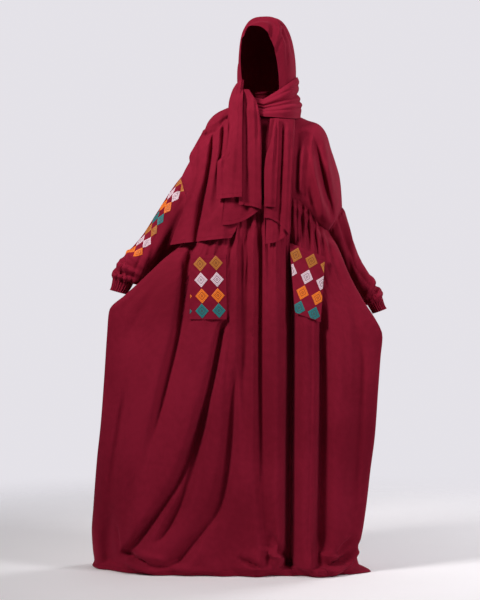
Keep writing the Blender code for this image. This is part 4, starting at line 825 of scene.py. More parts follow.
def numbered(grid, ring=False):
    """Number of each point of a grid, closed where the grid is a ring."""
    rows, columns = grid.shape[:2]
    index = np.arange(rows * columns).reshape(rows, columns)
    return closed(index) if ring else index


def cells(index):
    """Point numbers of the four corners of each cell of a numbered grid."""
    return stacked(index[:-1, :-1], index[1:, :-1], index[1:, 1:], index[:-1, 1:]).reshape(-1, 4)


def through(table, stations):
    """Smooth values of the other columns of a table at stations of its first column, never past a row."""
    rows = np.array(table, float)
    at, values = rows[:, 0], rows[:, 1:]
    stations = np.clip(np.asarray(stations, float), at[0], at[-1])
    step = np.diff(at)[:, None]
    slope = np.diff(values, axis=0) / step
    tangent = np.zeros_like(values)
    same_way = slope[:-1] * slope[1:] > 0
    total = slope[:-1] + slope[1:]
    tangent[1:-1] = np.where(same_way, 2 * slope[:-1] * slope[1:] / np.where(same_way, total, 1), 0)
    tangent[0], tangent[-1] = slope[0], slope[-1]
    k = np.clip(np.searchsorted(at, stations, side="right") - 1, 0, len(at) - 2)
    u = ((stations - at[k]) / np.diff(at)[k])[..., None]
    width = np.diff(at)[k][..., None]
    return (
        values[k] * (1 + 2 * u) * (1 - u) ** 2
        + tangent[k] * width * u * (1 - u) ** 2
        + values[k + 1] * u * u * (3 - 2 * u)
        + tangent[k + 1] * width * u * u * (u - 1)
    )


def evenly(rows, stations):
    """Smooth values of a table whose rows stand at even shares from 0 to 1."""
    return through(np.c_[shares(len(rows)), np.array(rows)], stations)


def ease(value):
    """The value brought into 0 to 1, level at both ends."""
    value = np.clip(value, 0, 1)
    return value * value * (3 - 2 * value)


def fold_field(folds, x, z):
    """Sum of the folds of a table at positions x, z."""
    total = np.zeros_like(x)
    for depth, width_top, width_foot, top, foot, a, b, c, d, fade_top, fade_foot, *skew in folds:
        share = np.clip((top - z) / (top - foot), 0, 1)
        middle = through(((0, a), (1 / 3, b), (2 / 3, c), (1, d)), share)[..., 0]
        width = width_top + (width_foot - width_top) * share
        if skew:
            width = width * (1 - skew[0] * np.sign(x - middle))
        here = np.exp(-(((x - middle) / width) ** 2))
        starts = ease((top - z) / fade_top) if fade_top else 1.0
        ends = ease((z - foot) / fade_foot) if fade_foot else 1.0
        total = total + depth * here * starts * ends
    return total


def outward(grid, ring=False, seams=()):
    """Unit normals of a grid of points, to the side from which its columns run left to right.

    Along each seam, a pair of a mask of points and a direction, the normal is kept square to the
    direction, so that the walls of the two panels meet squarely there.
    """
    wide = np.concatenate([grid[:, -1:], grid, grid[:, :1]], axis=1) if ring else grid
    across = np.diff(wide, axis=1)
    down = np.diff(wide, axis=0)
    normal = np.zeros_like(wide)
    for row, column in ((0, 0), (0, 1), (1, 0), (1, 1)):
        # Each cell adds the normal that it has at each of its four corners.
        sides = across[row : row + len(down)]
        falls = down[:, column : column + across.shape[1]]
        corner = np.cross(falls, sides)
        normal[row : row + len(down), column : column + across.shape[1]] += corner
    if ring:
        normal = normal[:, 1:-1]
    for mask, direction in seams:
        direction = np.array(direction, float)
        normal[mask] -= (normal[mask] @ direction)[:, None] * direction
    return normal / np.maximum(np.linalg.norm(normal, axis=2, keepdims=True), TINY)


def lengths(grid):
    """Distances round and along a piece at each point, measured on the cloth."""
    wide = np.linalg.norm(np.diff(grid, axis=1), axis=2).mean(axis=0)
    tall = np.linalg.norm(np.diff(grid, axis=0), axis=2)
    round_it = np.broadcast_to(np.concatenate([[0], np.cumsum(wide)]), grid.shape[:2])
    along = np.concatenate([np.zeros((1, grid.shape[1])), np.cumsum(tall, axis=0)])
    return round_it, along


def creased(grid, table, ring=False):
    """The grid with soft ridges and troughs on it, pushed out along its own normals."""
    places = closed(grid) if ring else grid
    round_it, along = (a[:, : grid.shape[1]] for a in lengths(places))
    around = np.linalg.norm(np.diff(places, axis=1), axis=2).mean(axis=0).sum()
    height = np.zeros(grid.shape[:2])
    for rise, mid_round, mid_along, half_length, half_width, slant in table:
        turn = math.radians(slant)
        aside = round_it - mid_round
        if ring:
            aside = (aside + around / 2) % around - around / 2
        forth = along - mid_along
        lengthwise = (aside * math.cos(turn) + forth * math.sin(turn)) / half_length
        sideways = (forth * math.cos(turn) - aside * math.sin(turn)) / half_width
        height += rise * np.exp(-(lengthwise**2) - sideways**2)
    return grid + outward(grid, ring) * height[..., None]


def lined(grid, lines, ring=False):
    """The grid with ridges and troughs along short lines, on the side of it that faces the front."""
    x, z = grid[..., 0], grid[..., 2]
    normal = outward(grid, ring)
    height = np.zeros(x.shape)
    for rise, half_width, x_top, z_top, x_foot, z_foot in lines:
        run_x, run_z = x_foot - x_top, z_foot - z_top
        share = np.clip(((x - x_top) * run_x + (z - z_top) * run_z) / (run_x**2 + run_z**2), 0, 1)
        away = np.hypot(x - x_top - share * run_x, z - z_top - share * run_z)
        kept = LINE_END + (1 - LINE_END) * np.sin(np.pi * share)
        height += rise * np.exp(-((away / half_width) ** 2)) * kept
    return grid + normal * (height * ease(-LINE_FACING * normal[..., 1]))[..., None]


def tucked_in(cuff):
    """The cuff with one more ring at its upper end, inside the sleeve."""
    centre = cuff[0].mean(axis=0)
    up = centre - cuff[-1].mean(axis=0)
    ring = centre + (cuff[0] - centre) * CUFF_TUCK_SHARE + up / np.linalg.norm(up) * CUFF_TUCK
    return np.concatenate([ring[None], cuff])


def surface(grid, ring=False):
    """Search tree over the faces of a grid."""
    return BVHTree.FromPolygons(grid.reshape(-1, 3).tolist(), cells(numbered(grid, ring)).tolist())


def front_of(x, z, beneath):
    """Position y of the frontmost surface at each x, z, and zero where there is none."""
    y = np.zeros_like(x)
    for place in np.ndindex(x.shape):
        start = Vector((x[place], VIEW_Y, z[place]))
        for tree in beneath:
            hit = tree.ray_cast(start, BACKWARD)[0]
            if hit is not None:
                y[place] = min(y[place], hit.y)
    return y


def resting(x, z, beneath, gap, reach):
    """Forward positions y of cloth that lies on the surfaces beneath it and spans their hollows."""
    y = np.zeros_like(x)
    for side in np.linspace(-reach, reach, REACH_SAMPLES):
        for rise in np.linspace(-reach, reach, REACH_SAMPLES):
            y = np.minimum(y, front_of(x + side, z + rise, beneath))
    y = y - gap
    for _ in range(LAYER_ROUNDS):
        padded = np.pad(y, 1, mode="edge")
        mean = (padded[:-2, 1:-1] + padded[2:, 1:-1] + padded[1:-1, :-2] + padded[1:-1, 2:]) / 4
        y = np.minimum(y, mean)
    return y


def smoothly_resting(x, z, beneath, reach=LAYER_REACH):
    """The same for a fine grid, worked out on a coarse one and smoothed between."""
    rows = np.linspace(0, len(x) - 1, REST_ROWS).astype(int)
    columns = np.linspace(0, x.shape[1] - 1, REST_COLUMNS).astype(int)
    coarse = resting(x[np.ix_(rows, columns)], z[np.ix_(rows, columns)], beneath, LAYER_GAP + WALL, reach)
    tall = through(np.c_[rows, coarse], np.arange(len(x)))
    return through(np.c_[columns, tall.T], np.arange(x.shape[1])).T


def seated(grid, beneath):
    """The grid moved forwards or back until it all but touches what is beneath it."""
    back = grid - outward(grid) * WALL
    room = min((front_of(g[..., 0], g[..., 2], beneath) - g[..., 1]).min() for g in (grid, back))
    return grid + np.array((0.0, room - CONTACT_GAP, 0.0))


def skirt_columns():
    """Shares of the way across, close together at both edges and even between them."""
    middle = np.linspace(SEAM_END, 1 - SEAM_END, SKIRT_STEPS_PER_GATHER * GATHERS + 1)
    ends = SEAM_END * shares(SKIRT_TIP_STEPS + 1)[:-1] ** 2
    return np.concatenate([ends, middle, 1 - ends[::-1]])


def section(q, edge_y, sizes, front):
    """Position y across a panel, q being 1 at its edges and 0 at its middle, sizes a row of SKIRT_MIDDLE."""
    front_y, back_y, power, tip = sizes
    if front:
        shape = (1 - q**FRONT_SQUARENESS) ** FRONT_ROUNDING
        return edge_y + (front_y - edge_y) * shape
    shape = tip * np.sqrt(1 - q**TIP_SQUARENESS) + (1 - tip) * (1 - q**2) ** power
    return edge_y + (back_y - edge_y) * shape


def skirt(folds, front, seam_line):
    """Grid of one skirt panel, its columns running from the right edge to the left one."""
    down = through(SKIRT_ROW_PLACES, shares(SKIRT_ROWS))[:, 0]
    down, across = np.meshgrid(down, skirt_columns(), indexing="ij")
    right = through(SKIRT_RIGHT_EDGE, down)
    left = through(SKIRT_LEFT_EDGE, down)
    lift, *sizes = np.moveaxis(through(SKIRT_MIDDLE, down), -1, 0)
    x, edge_y, edge_z = np.moveaxis(right + (left - right) * across[..., None], -1, 0)
    q = np.clip(np.abs(2 * across - 1), 0, 1)
    # High up the middle hangs straight down from the seam, and only the sides are drawn out.
    drawn = np.clip(np.hypot(q, MIDDLE_ROUNDING), 0, 1) ** (SIDE_PULL * (1 - ease(down / SIDE_PULL_END)))
    x = x[0] * (1 - drawn) + x * drawn
    fall = through(SEAM_FALL, np.abs(x))[..., 0] / SEAM_FALL[-1][1]
    settle = ease(down / SKIRT_SETTLE)
    rise = (1 - fall) * (1 - settle) + (1 - q**2) * settle
    z = edge_z + lift * rise
    y = section(q, edge_y, sizes, front)
    foot_y = np.interp(x[0], seam_line[:, 0], seam_line[:, 1])
    released = ease(down / SEAM_RELEASE)
    y = edge_y + (foot_y - edge_y[0]) * (1 - released) + (y - edge_y) * released
    room = ease(np.minimum(across, 1 - across) / SIDE_ROOM)
    along = (across - SEAM_END) / (1 - 2 * SEAM_END)
    phase = 2 * np.pi * GATHERS * along + GATHER_WANDER * uneven(GATHER_UNEVEN * along, 1.0 + front)
    wave = np.cos(phase) + GATHER_SHARPNESS * np.cos(2 * phase)
    reach = 1 + GATHER_LENGTH_SPREAD * uneven(2 * GATHER_UNEVEN * along, 2.0 + front)
    size = through(GATHER_DEPTHS, down / reach)[..., 0]
    size = size * (1 + GATHER_SIZE_SPREAD * uneven(3 * GATHER_UNEVEN * along, 3.0 + front))
    size = size * (GATHER_SIDE_KEPT + (1 - GATHER_SIDE_KEPT) * ease(across / GATHER_SIDE_END))
    inwards = (fold_field(folds, x, z) + size * wave) * room
    inwards = inwards * (HEM_KEPT + (1 - HEM_KEPT) * ease((1 - down) / HEM_CALM))
    pool = ease((down - POOL_START) / (1 - POOL_START)) * room
    inwards = inwards + pool * POOL_WAVE * uneven(POOL_UNEVEN * across, 4.0 + front)
    y = y + inwards if front else y - inwards
    z = z + pool * POOL_LIFT * (1 + uneven(POOL_UNEVEN * across, 5.0 + front)) * ease((1 - down) / POOL_EDGE)
    y = y + (-SEAM_GAP / 2 if front else SEAM_GAP / 2)
    y[0] = foot_y
    z[0] = np.interp(x[0], seam_line[:, 0], seam_line[:, 2]) - SEAM_GAP
    return stacked(x, y, z)


def square_to(ends, side):
    """Unit direction out of an armhole between two given points, along the sleeve."""
    line = np.array(ends[1]) - np.array(ends[0])
    out = np.cross(line, (0.0, side, 0.0))
    return out / np.linalg.norm(out)


def armhole(top, underarm, share, depth):
    """Half of an armhole from its top to the underarm, bowed forwards or back by depth."""
    top, underarm = np.array(top), np.array(underarm)
    line = top + (underarm - top) * share[..., None]
    line[..., 1] += depth * np.sin(np.pi * share) ** ARMHOLE_ROUNDING
    return line


def yoke(folds, front):
    """Grid of one yoke panel, its columns running from the right armhole to the left one."""
    across = shares(YOKE_STEPS * (len(FRONT_YOKE_TOP) - 1) + 1)
    down = (shares(YOKE_ROWS) ** YOKE_ROW_POWER)[:, None]
    if front:
        upper = evenly(FRONT_YOKE_TOP, across)
    else:
        right_neck = FRONT_YOKE_TOP.index(BACK_NECK[0])
        left_neck = FRONT_YOKE_TOP.index(BACK_NECK[-1])
        line = FRONT_YOKE_TOP[:right_neck] + BACK_NECK + FRONT_YOKE_TOP[left_neck + 1 :]
        upper = evenly(line, across)
    x_foot = UNDERARM_RIGHT[0] + (UNDERARM_LEFT[0] - UNDERARM_RIGHT[0]) * across
    q = np.abs(2 * across - 1)
    fall = through(SEAM_FALL, np.abs(x_foot))[..., 0]
    z_foot = UNDERARM_LEFT[2] + YOKE_DROP - fall
    y_foot = section(q, UNDERARM_LEFT[1], SKIRT_MIDDLE[0][2:], front)
    y_foot[[0, -1]] += -UNDERARM_EASE if front else UNDERARM_EASE
    depth = -ARMHOLE_FRONT_DEPTH if front else ARMHOLE_BACK_DEPTH
    lower = stacked(x_foot, y_foot, z_foot)
    share = down[:, 0]
    right = armhole(FRONT_YOKE_TOP[0], lower[0], share, depth)
    left = armhole(FRONT_YOKE_TOP[-1], lower[-1], share, depth)
    round_down = np.sqrt(1 - (1 - down) ** 2)
    weight = stacked(down + 0 * across, round_down, down)
    grid = upper[None] * (1 - weight) + lower[None] * weight
    near_right = ease(1 - across / ARMHOLE_REACH)[None, :, None]
    near_left = ease(1 - (1 - across) / ARMHOLE_REACH)[None, :, None]
    grid = grid + near_right * (right[:, None] - grid[:, :1]) + near_left * (left[:, None] - grid[:, -1:])
    x, z = grid[..., 0], grid[..., 2]
    room = ease(np.minimum(across, 1 - across) / YOKE_ROOM[0])[None]
    room = room * ease(down / YOKE_ROOM[1]) * ease((1 - down) / YOKE_ROOM[2])
    inwards = fold_field(folds, x, z) * room
    grid[..., 1] += inwards - SEAM_GAP / 2 if front else SEAM_GAP / 2 - inwards
    return grid


def tube(rings, rows, columns, side, gathers, puff=0.0, sewn_to=None):
    """Grid of a sleeve or cuff. The columns start at the outer line and run round by the front.

    A sleeve is sewn to the armhole between two given points, with its gathers fading in below it.
    Gathers is waves round it, their height and the share of the length that they reach at each end.
    """
    values = evenly(rings, shares(rows))
    turn = np.linspace(0, 2 * np.pi, columns, endpoint=False)[None]
    x_out, z_out, x_in, z_in, y_mid, depth = (values[:, k, None] for k in range(6))
    share = shares(rows)[:, None]
    waves, height, top_reach, foot_reach = gathers
    near_end = np.maximum(ease(1 - share / top_reach) * TOP_GATHER, ease(1 - (1 - share) / foot_reach))
    wave = np.cos(waves * turn + uneven(turn, 1.0)) * (1 + GATHER_SIZE_SPREAD * uneven(turn, 2.0))
    size = 1 + height * near_end * wave
    size = size + puff * np.sin(np.pi * share) * np.cos(PUFF_TURNS * turn + PUFF_SLANT * share)
    along_width = np.cos(turn) * size
    x = (x_out + x_in) / 2 + (x_out - x_in) / 2 * along_width
    z = (z_out + z_in) / 2 + (z_out - z_in) / 2 * along_width
    y = y_mid - depth * np.sin(turn) * size
    grid = stacked(x, y, z)
    if sewn_to:
        part = (1 - np.cos(turn[0])) / 2
        by_front = np.sin(turn[0]) >= 0
        seam = np.where(
            by_front[:, None],
            armhole(sewn_to[0], sewn_to[1], part, -ARMHOLE_FRONT_DEPTH),
            armhole(sewn_to[0], sewn_to[1], part, ARMHOLE_BACK_DEPTH),
        )
        ease_out = np.array((-side * UNDERARM_TUCK, UNDERARM_EASE, 0.0))
        near_underarm = part[:, None] ** UNDERARM_SHARPNESS
        seam = seam + square_to(sewn_to, side) * SEAM_GAP + near_underarm * ease_out
        near = (1 - ease(share / SEAM_BLEND))[..., None]
        grid = grid + (seam - grid[0]) * near
    return grid if side < 0 else grid[:, ::-1]


def hood():
    """Grid of the hood: rows are hoops from the nape to the opening, columns run from right to left."""
    values = evenly(HOOPS, shares(HOOD_ROWS))
    angle = np.linspace(0, np.pi, HOOD_COLUMNS)[None]
    top_x, top_y, top_z, half, rx, ry, rz, lx, ly, lz = (values[:, k, None] for k in range(10))
    end_half = (lx - rx) / 2
    share = (1 - np.cos(angle)) / 2
    width = end_half + (half - end_half) * np.sin(angle) ** HOOP_WIDENING
    mid_end_x = (lx + rx) / 2
    squareness = through(HOOP_SQUARENESS, shares(HOOD_ROWS))
    swing = np.sign(np.cos(angle)) * np.abs(np.cos(angle)) ** squareness
    x = mid_end_x + (top_x - mid_end_x) * np.sin(angle) - width * swing
    y = ry + (ly - ry) * share + (top_y - (ry + ly) / 2) * np.sin(angle) ** HOOP_SWEEP
    z = rz + (lz - rz) * share + (top_z - (rz + lz) / 2) * np.sin(angle) ** squareness
    return stacked(x, y, z)[::-1]


def neck_wrap(hood_points, below):
    """Grid of the stretch round the neck, its upper edge on the hood and its lower edge on the yoke."""
    turn = np.linspace(0, 360, WRAP_COLUMNS, endpoint=False)
    values = through(NECK_WRAP, turn)
    upper, lower = values[:, :3], values[:, 3:]
    hood_tree = surface(hood_points)
    room = min(hood_tree.find_nearest(Vector(p))[3] for p in upper)
    share = shares(WRAP_ROWS)[:, None, None]

    def away_from_neck(points):
        away = points - np.array(NECK_CENTRE)
        away[..., 2] = 0
        return away / np.linalg.norm(away, axis=-1, keepdims=True)

    upper = upper - away_from_neck(upper) * (room - WALL - CONTACT_GAP)
    drop = np.inf
    for rim in (lower, lower - away_from_neck(lower) * WALL):
        for start in rim:
            for tree in below:
                hit = tree.ray_cast(Vector(start), -UPWARD)[0]
                if hit is not None:
                    drop = min(drop, start[2] - hit.z)
    lower = lower - np.array(UPWARD) * (drop - CONTACT_GAP) * np.sin(np.radians(turn))[:, None] ** 2
    grid = upper[None] + (lower - upper)[None] * share
    slant = np.sin(np.radians(turn))[None, :, None]
    puff = WRAP_BULGE + WRAP_FOLD * np.sin(WRAP_WAVES * np.pi * share + slant)
    for depth, place, swing, start, half_width in WRAP_GROOVES:
        middle = place + swing * np.sin(np.radians(turn - start))[None, :, None]
        puff = puff - depth * np.exp(-np.abs((share - middle) / half_width) ** GROOVE_SHARPNESS)
    return grid + away_from_neck(grid) * puff * np.sin(np.pi * share) ** WRAP_ROUNDING


def flat_piece(outline, size, folds, beneath):
    """Grid of a scarf stretch with two open edges, lying on what is beneath it."""
    rows, columns = size
    share = shares(rows)
    right_x, right_z, left_x, left_z = through(outline, share).T
    across = shares(columns)[None]
    x = right_x[:, None] + (left_x - right_x)[:, None] * across
    z = right_z[:, None] + (left_z - right_z)[:, None] * across
    y = smoothly_resting(x, z, beneath) - fold_field(folds, x, z)
    return seated(stacked(x, y, z), beneath)


def turned_piece(outline, top_z, hems, size, folds, beneath):
    """Grid of a scarf end folded back on itself: front layer, rounded fold, hidden layer."""
    rows, columns = size
    share = shares(rows)
    open_x, fold_x, hidden_x = (v[:, None] for v in through(outline, share).T)
    front_hem, fold_hem, hidden_hem = hems
    part = shares(columns)[None]
    turn = np.linspace(-np.pi / 2, np.pi / 2, TURN_STEPS)[None, 1:-1]
    x_front = open_x + (fold_x - TURN_RADIUS - open_x) * part
    x_turn = fold_x - TURN_RADIUS + TURN_RADIUS * np.cos(turn)
    x_back = fold_x - TURN_RADIUS + (hidden_x - fold_x + TURN_RADIUS) * part
    hem_front = front_hem + (fold_hem - front_hem) * part**2
    hem_turn = fold_hem + 0 * turn
    hem_back = fold_hem + (hidden_hem - fold_hem) * (1 - (1 - part) ** HEM_TURN)
    step = np.concatenate([0 * part + 1, -np.sin(turn), 0 * part - 1], axis=1)
    x = np.concatenate([x_front, x_turn, x_back], axis=1)
    hem = np.concatenate([hem_front, hem_turn, hem_back], axis=1)
    z = top_z + (hem - top_z) * share[:, None]
    half = x.shape[1] // 2
    rest = smoothly_resting(x[:, : half + 1], z[:, : half + 1], beneath)
    hidden = smoothly_resting(x[:, half:], z[:, half:], beneath)
    rest = np.concatenate([rest, hidden[:, 1:]], axis=1)
    y = rest - TURN_RADIUS * (1 + step) - fold_field(folds, x, z)
    return seated(stacked(x, y, z), beneath)


def in_quad(corners, across, down):
    """Positions x, z inside a four-cornered pocket at shares across and down."""
    top_right, top_left, foot_right, foot_left = (np.array(c) for c in corners)
    across, down = np.asarray(across)[..., None], np.asarray(down)[..., None]
    top = top_right * (1 - across) + top_left * across
    return top * (1 - down) + (foot_right * (1 - across) + foot_left * across) * down


def pocket(corners, beneath):
    """Grid of a patch pocket lying on the skirt."""
    rows, columns = POCKET_GRID
    down, across = np.meshgrid(shares(rows), shares(columns), indexing="ij")
    flat = in_quad(corners, across, down)
    x, z = flat[..., 0], flat[..., 1]
    y = smoothly_resting(x, z, beneath, POCKET_REACH)
    y = y - POCKET_MOUTH * np.sin(np.pi * across) * ease(1 - down / POCKET_MOUTH_REACH)
    return seated(stacked(x, y, z), beneath)


def skirt_seams(grid):
    """Side seams and upper seam of a skirt panel, each a mask of points and a direction."""
    sides, upper = np.zeros((2,) + grid.shape[:2], bool)
    sides[:, [0, -1]] = True
    upper[0] = True
    return (sides, BACKWARD), (upper, UPWARD)


# Materials


class Graph:
    """Short ways to add and join the nodes of one material."""

    def __init__(self, name):
        self.material = bpy.data.materials.new(name)
        self.material.use_nodes = True
        self.nodes = self.material.node_tree.nodes
        self.links = self.material.node_tree.links
        self.shader = self.nodes["Principled BSDF"]

    def node(self, kind, **settings):
        made = self.nodes.new(kind)
        for name, value in settings.items():
            setattr(made, name, value)
        return made

    def join(self, source, target):
        self.links.new(source, target)

    def value(self, source, target):
        """Feeds a socket from another socket or from a number."""
        if hasattr(source, "is_output"):
            self.join(source, target)
        else:
            target.default_value = source

    def math(self, operation, a, b=0.0):
        made = self.node("ShaderNodeMath", operation=operation)
        self.value(a, made.inputs[0])
        self.value(b, made.inputs[1])
        return made.outputs[0]

    def times(self, a, b):
        return self.math("MULTIPLY", a, b)

    def sum(self, *terms):
        total = terms[0]
        for term in terms[1:]:
            total = self.math("ADD", total, term)
        return total

    def noise(self, vector, grain):
        """Noise of a given size of grain, detail and roughness."""
        made = self.node("ShaderNodeTexNoise")
        self.join(vector, made.inputs["Vector"])
        size, detail, roughness = grain
        made.inputs["Scale"].default_value = 1 / size
        made.inputs["Detail"].default_value = detail
        made.inputs["Roughness"].default_value = roughness
        return made.outputs["Fac"]

    def ramp(self, source, low, high, to_low=0.0, to_high=1.0):
        made = self.node("ShaderNodeMapRange", interpolation_type="SMOOTHSTEP")
        for place, given in enumerate((source, low, high, to_low, to_high)):
            self.value(given, made.inputs[place])
        return made.outputs[0]

    def mix(self, share, a, b):
        made = self.node("ShaderNodeMix", data_type="RGBA")
        self.value(share, made.inputs["Factor"])
        self.value(a, made.inputs[6])
        self.value(b, made.inputs[7])
        return made.outputs[2]

    def attribute(self, name):
        return self.node("ShaderNodeAttribute", attribute_name=name).outputs["Fac"]

    def finished(self, colour, surface, height=None):
        """The material with its colour, the plain settings of its shader and a bump."""
        self.join(colour, self.shader.inputs["Base Color"])
        for name, value in surface.items():
            self.shader.inputs[name].default_value = value
        if height is not None:
            bump = self.node("ShaderNodeBump")
            bump.inputs["Strength"].default_value = BUMP_STRENGTH
            bump.inputs["Distance"].default_value = 1.0
            self.join(height, bump.inputs["Height"])
            self.join(bump.outputs["Normal"], self.shader.inputs["Normal"])
        return self.material


def crepe(name):
    """Crepe: a pebbly plain weave with soft changes of depth of colour, and stitched hems."""
    g = Graph(name)
    place = g.node("ShaderNodeTexCoord")
    uv = g.node("ShaderNodeSeparateXYZ")
    g.join(place.outputs["UV"], uv.inputs[0])
    warp, weft = (g.math("SINE", g.times(uv.outputs[k], 2 * math.pi / THREAD_PITCH)) for k in (0, 1))
    weave = g.times(warp, weft)
    pebble = g.noise(place.outputs["UV"], PEBBLE)
    cloud = g.noise(place.outputs["Object"], CLOUD)
    slub = g.noise(place.outputs["UV"], SLUB)
    depth = g.sum(g.times(cloud, CLOUD_SHARE), g.times(slub, SLUB_SHARE))
    colour = g.mix(g.ramp(depth, *SHADE_RANGE), CREPE_DARK, CREPE_LIGHT)
    fleck = g.ramp(g.sum(pebble, g.times(weave, WEAVE_IN_FLECKS)), *FLECK_RANGE, 0.0, FLECK_STRENGTH)
    colour = g.mix(fleck, colour, CREPE_LIGHT)
    across = g.attribute("stitch_across")
    on_line = g.math("LESS_THAN", g.math("ABSOLUTE", across), STITCH_WIDTH / 2)
    repeat = g.math("FRACT", g.math("DIVIDE", g.attribute("stitch_along"), STITCH_PITCH))
    stitch = g.times(on_line, g.math("LESS_THAN", repeat, STITCH_SHARE))
    colour = g.mix(stitch, colour, STITCH_COLOUR)
    g.join(g.ramp(slub, *SHADE_RANGE, *CREPE_ROUGHNESS), g.shader.inputs["Roughness"])
    height = g.sum(
        g.times(weave, WEAVE_RISE),
        g.times(pebble, PEBBLE_RISE),
        g.times(stitch, STITCH_RISE),
        g.times(g.math("LESS_THAN", across, -STITCH_WIDTH), HEM_RISE),
    )
    return g.finished(colour, CREPE_SURFACE, height)


def thread(name, colour):
    """Embroidery thread: satin ridges of one colour with the cloth showing a little between them, darker at
    random along the strands and with painted shade in the troughs between the ridges.
    """
    g = Graph(name)
    ridge = g.attribute("ridge")
    strand = g.noise(g.node("ShaderNodeTexCoord").outputs["UV"], STRAND)
    # Half strand noise for random tone, half ridge height for painted shade in the troughs between the raised
    # rings
    shade = g.sum(g.times(strand, 0.5), g.times(ridge, 0.5))
    strand_toned_and_trough_shaded = tuple(value * THREAD_TONE_AND_TROUGH_SHADE for value in colour[:3]) + (1.0,)
    # Thread colour, darker at random along the strands and with painted shade in the troughs
    stitched = g.mix(g.ramp(shade, *THREAD_RANGE), strand_toned_and_trough_shaded, colour)
    sparse = g.mix(GROUND_SHOWING, stitched, CREPE_DARK)
    painted = g.mix(g.ramp(ridge, 0.0, RIDGE_COVERED), sparse, stitched)
    return g.finished(painted, THREAD_SURFACE, g.times(strand, THREAD_RISE))


# Building the pieces


def linked(name, data):
    """A new object of the scene."""
    thing = bpy.data.objects.new(name, data)
    bpy.context.scene.collection.objects.link(thing)
    return thing


def mesh_object(name, points, faces, uv, materials, smooth=True):
    """An object from arrays of points, faces and one texture place a point."""
    mesh = bpy.data.meshes.new(name)
    mesh.from_pydata(points.tolist(), [], faces.tolist())
    layer = mesh.uv_layers.new(name="UVMap")
    corner = np.empty(len(mesh.loops), np.int32)
    mesh.loops.foreach_get("vertex_index", corner)
    layer.data.foreach_set("uv", uv[corner].astype(np.float32).ravel())
    for material in materials:
        mesh.materials.append(material)
    if smooth:
        mesh.shade_smooth()
    mesh.update()
    return linked(name, mesh)


def number_on(thing, name, values):
    """Stores a number on each point of an object for its material."""
    layer = thing.data.attributes.new(name, "FLOAT", "POINT")
    layer.data.foreach_set("value", np.asarray(values, np.float32).ravel())


def shell(name, grid, material, ring=False, hem=None, seams=(), first=None):
    """A thin closed wall whose outer face is the grid, with a stitched hem at its top or foot if named.

    The normals of the first row can be given, so that the wall meets the one above it.
    """
    normal = outward(grid, ring, seams)
    if first is not None:
        normal[0] = first
    index = numbered(grid, ring)
    outer = cells(index)
    rims = [stacked(index[0, 1:], index[0, :-1]), stacked(index[-1, :-1], index[-1, 1:])]
    if not ring:
        rims += [stacked(index[:-1, 0], index[1:, 0]), stacked(index[1:, -1], index[:-1, -1])]
    rim = np.concatenate(rims)
    count = grid.shape[0] * grid.shape[1]
    edge = stacked(rim[:, 1], rim[:, 0], rim[:, 0] + count, rim[:, 1] + count)
    faces = np.concatenate([outer, outer[:, ::-1] + count, edge])
    points = np.concatenate([grid, grid - normal * WALL]).reshape(-1, 3)
    round_it, along = lengths(grid)
    uv = stacked(round_it, -along).reshape(-1, 2)
    thing = mesh_object(name, points, faces, np.tile(uv, (2, 1)), [material])
    across = np.full(along.shape, FAR)
    if hem:
        across = {"top": along, "foot": along[-1] - along}[hem] - HEM_WIDTH
    number_on(thing, "stitch_across", np.tile(across.ravel(), 2))
    number_on(thing, "stitch_along", np.tile(round_it.ravel(), 2))
    thing.data.set_sharp_from_angle(angle=math.radians(SHARP_ANGLE))
    return thing


def on_grid(grid, normals, across, down):
    """Places and normals on a grid at shares across and down."""
    rows, columns = grid.shape[:2]
    c = np.clip(across, 0, 1) * (columns - 1)
    r = np.clip(down, 0, 1) * (rows - 1)
    c0 = np.minimum(c.astype(int), columns - 2)
    r0 = np.minimum(r.astype(int), rows - 2)
    fc, fr = (c - c0)[..., None], (r - r0)[..., None]
    found = []
    for values in (grid, normals):
        upper = values[r0, c0] * (1 - fc) + values[r0, c0 + 1] * fc
        lower = values[r0 + 1, c0] * (1 - fc) + values[r0 + 1, c0 + 1] * fc
        found.append(upper * (1 - fr) + lower * fr)
    return found


def diamond_grid():
    """Places across and down a diamond, from -1 to 1, with how far out each lies."""
    step = np.linspace(-1, 1, DIAMOND_STEPS)
    p, q = np.meshgrid(step, step)
    return (p + q) / 2, (p - q) / 2, np.maximum(np.abs(p), np.abs(q))


def embroidery(name, diamonds, place, threads):
    """One object with a raised diamond for each row of a table: colour, middle across and down.

    Place turns offsets across and down from a diamond's middle into points, normals and a mask.
    """
    across, down, out = diamond_grid()
    ridge = 0.5 + 0.5 * np.cos(2 * np.pi * DIAMOND_RINGS * out)
    ridge = np.where(out > 1 - 0.5 / DIAMOND_RINGS, 1.0, ridge) * ease((1 - out) / DIAMOND_EDGE)
    rise = np.where(out == 1, -DIAMOND_SINK, DIAMOND_BASE + DIAMOND_RIDGE * ridge)
    quads = cells(numbered(out))[:, (0, 3, 2, 1)]
    points, faces, colours = [], [], []
    names = list(THREADS)
    for colour, middle_across, middle_down in diamonds:
        spot, normal, inside = place(middle_across, middle_down, across, down)
        kept = quads[inside.ravel()[quads].any(axis=1)]
        faces.append(kept + len(points) * out.size)
        points.append((spot + normal * rise[..., None]).reshape(-1, 3))
        colours += [names.index(colour)] * len(kept)
    used, faces = np.unique(np.concatenate(faces), return_inverse=True)
    uv = stacked(across, down).reshape(-1, 2) * DIAMOND_HALF_HEIGHT
    uv = np.tile(uv, (len(diamonds), 1))[used]
    thing = mesh_object(name, np.concatenate(points)[used], faces.reshape(-1, 4), uv, threads)
    thing.data.polygons.foreach_set("material_index", np.array(colours, np.int32))
    number_on(thing, "ridge", np.tile(ridge.ravel(), len(diamonds))[used])
    return thing


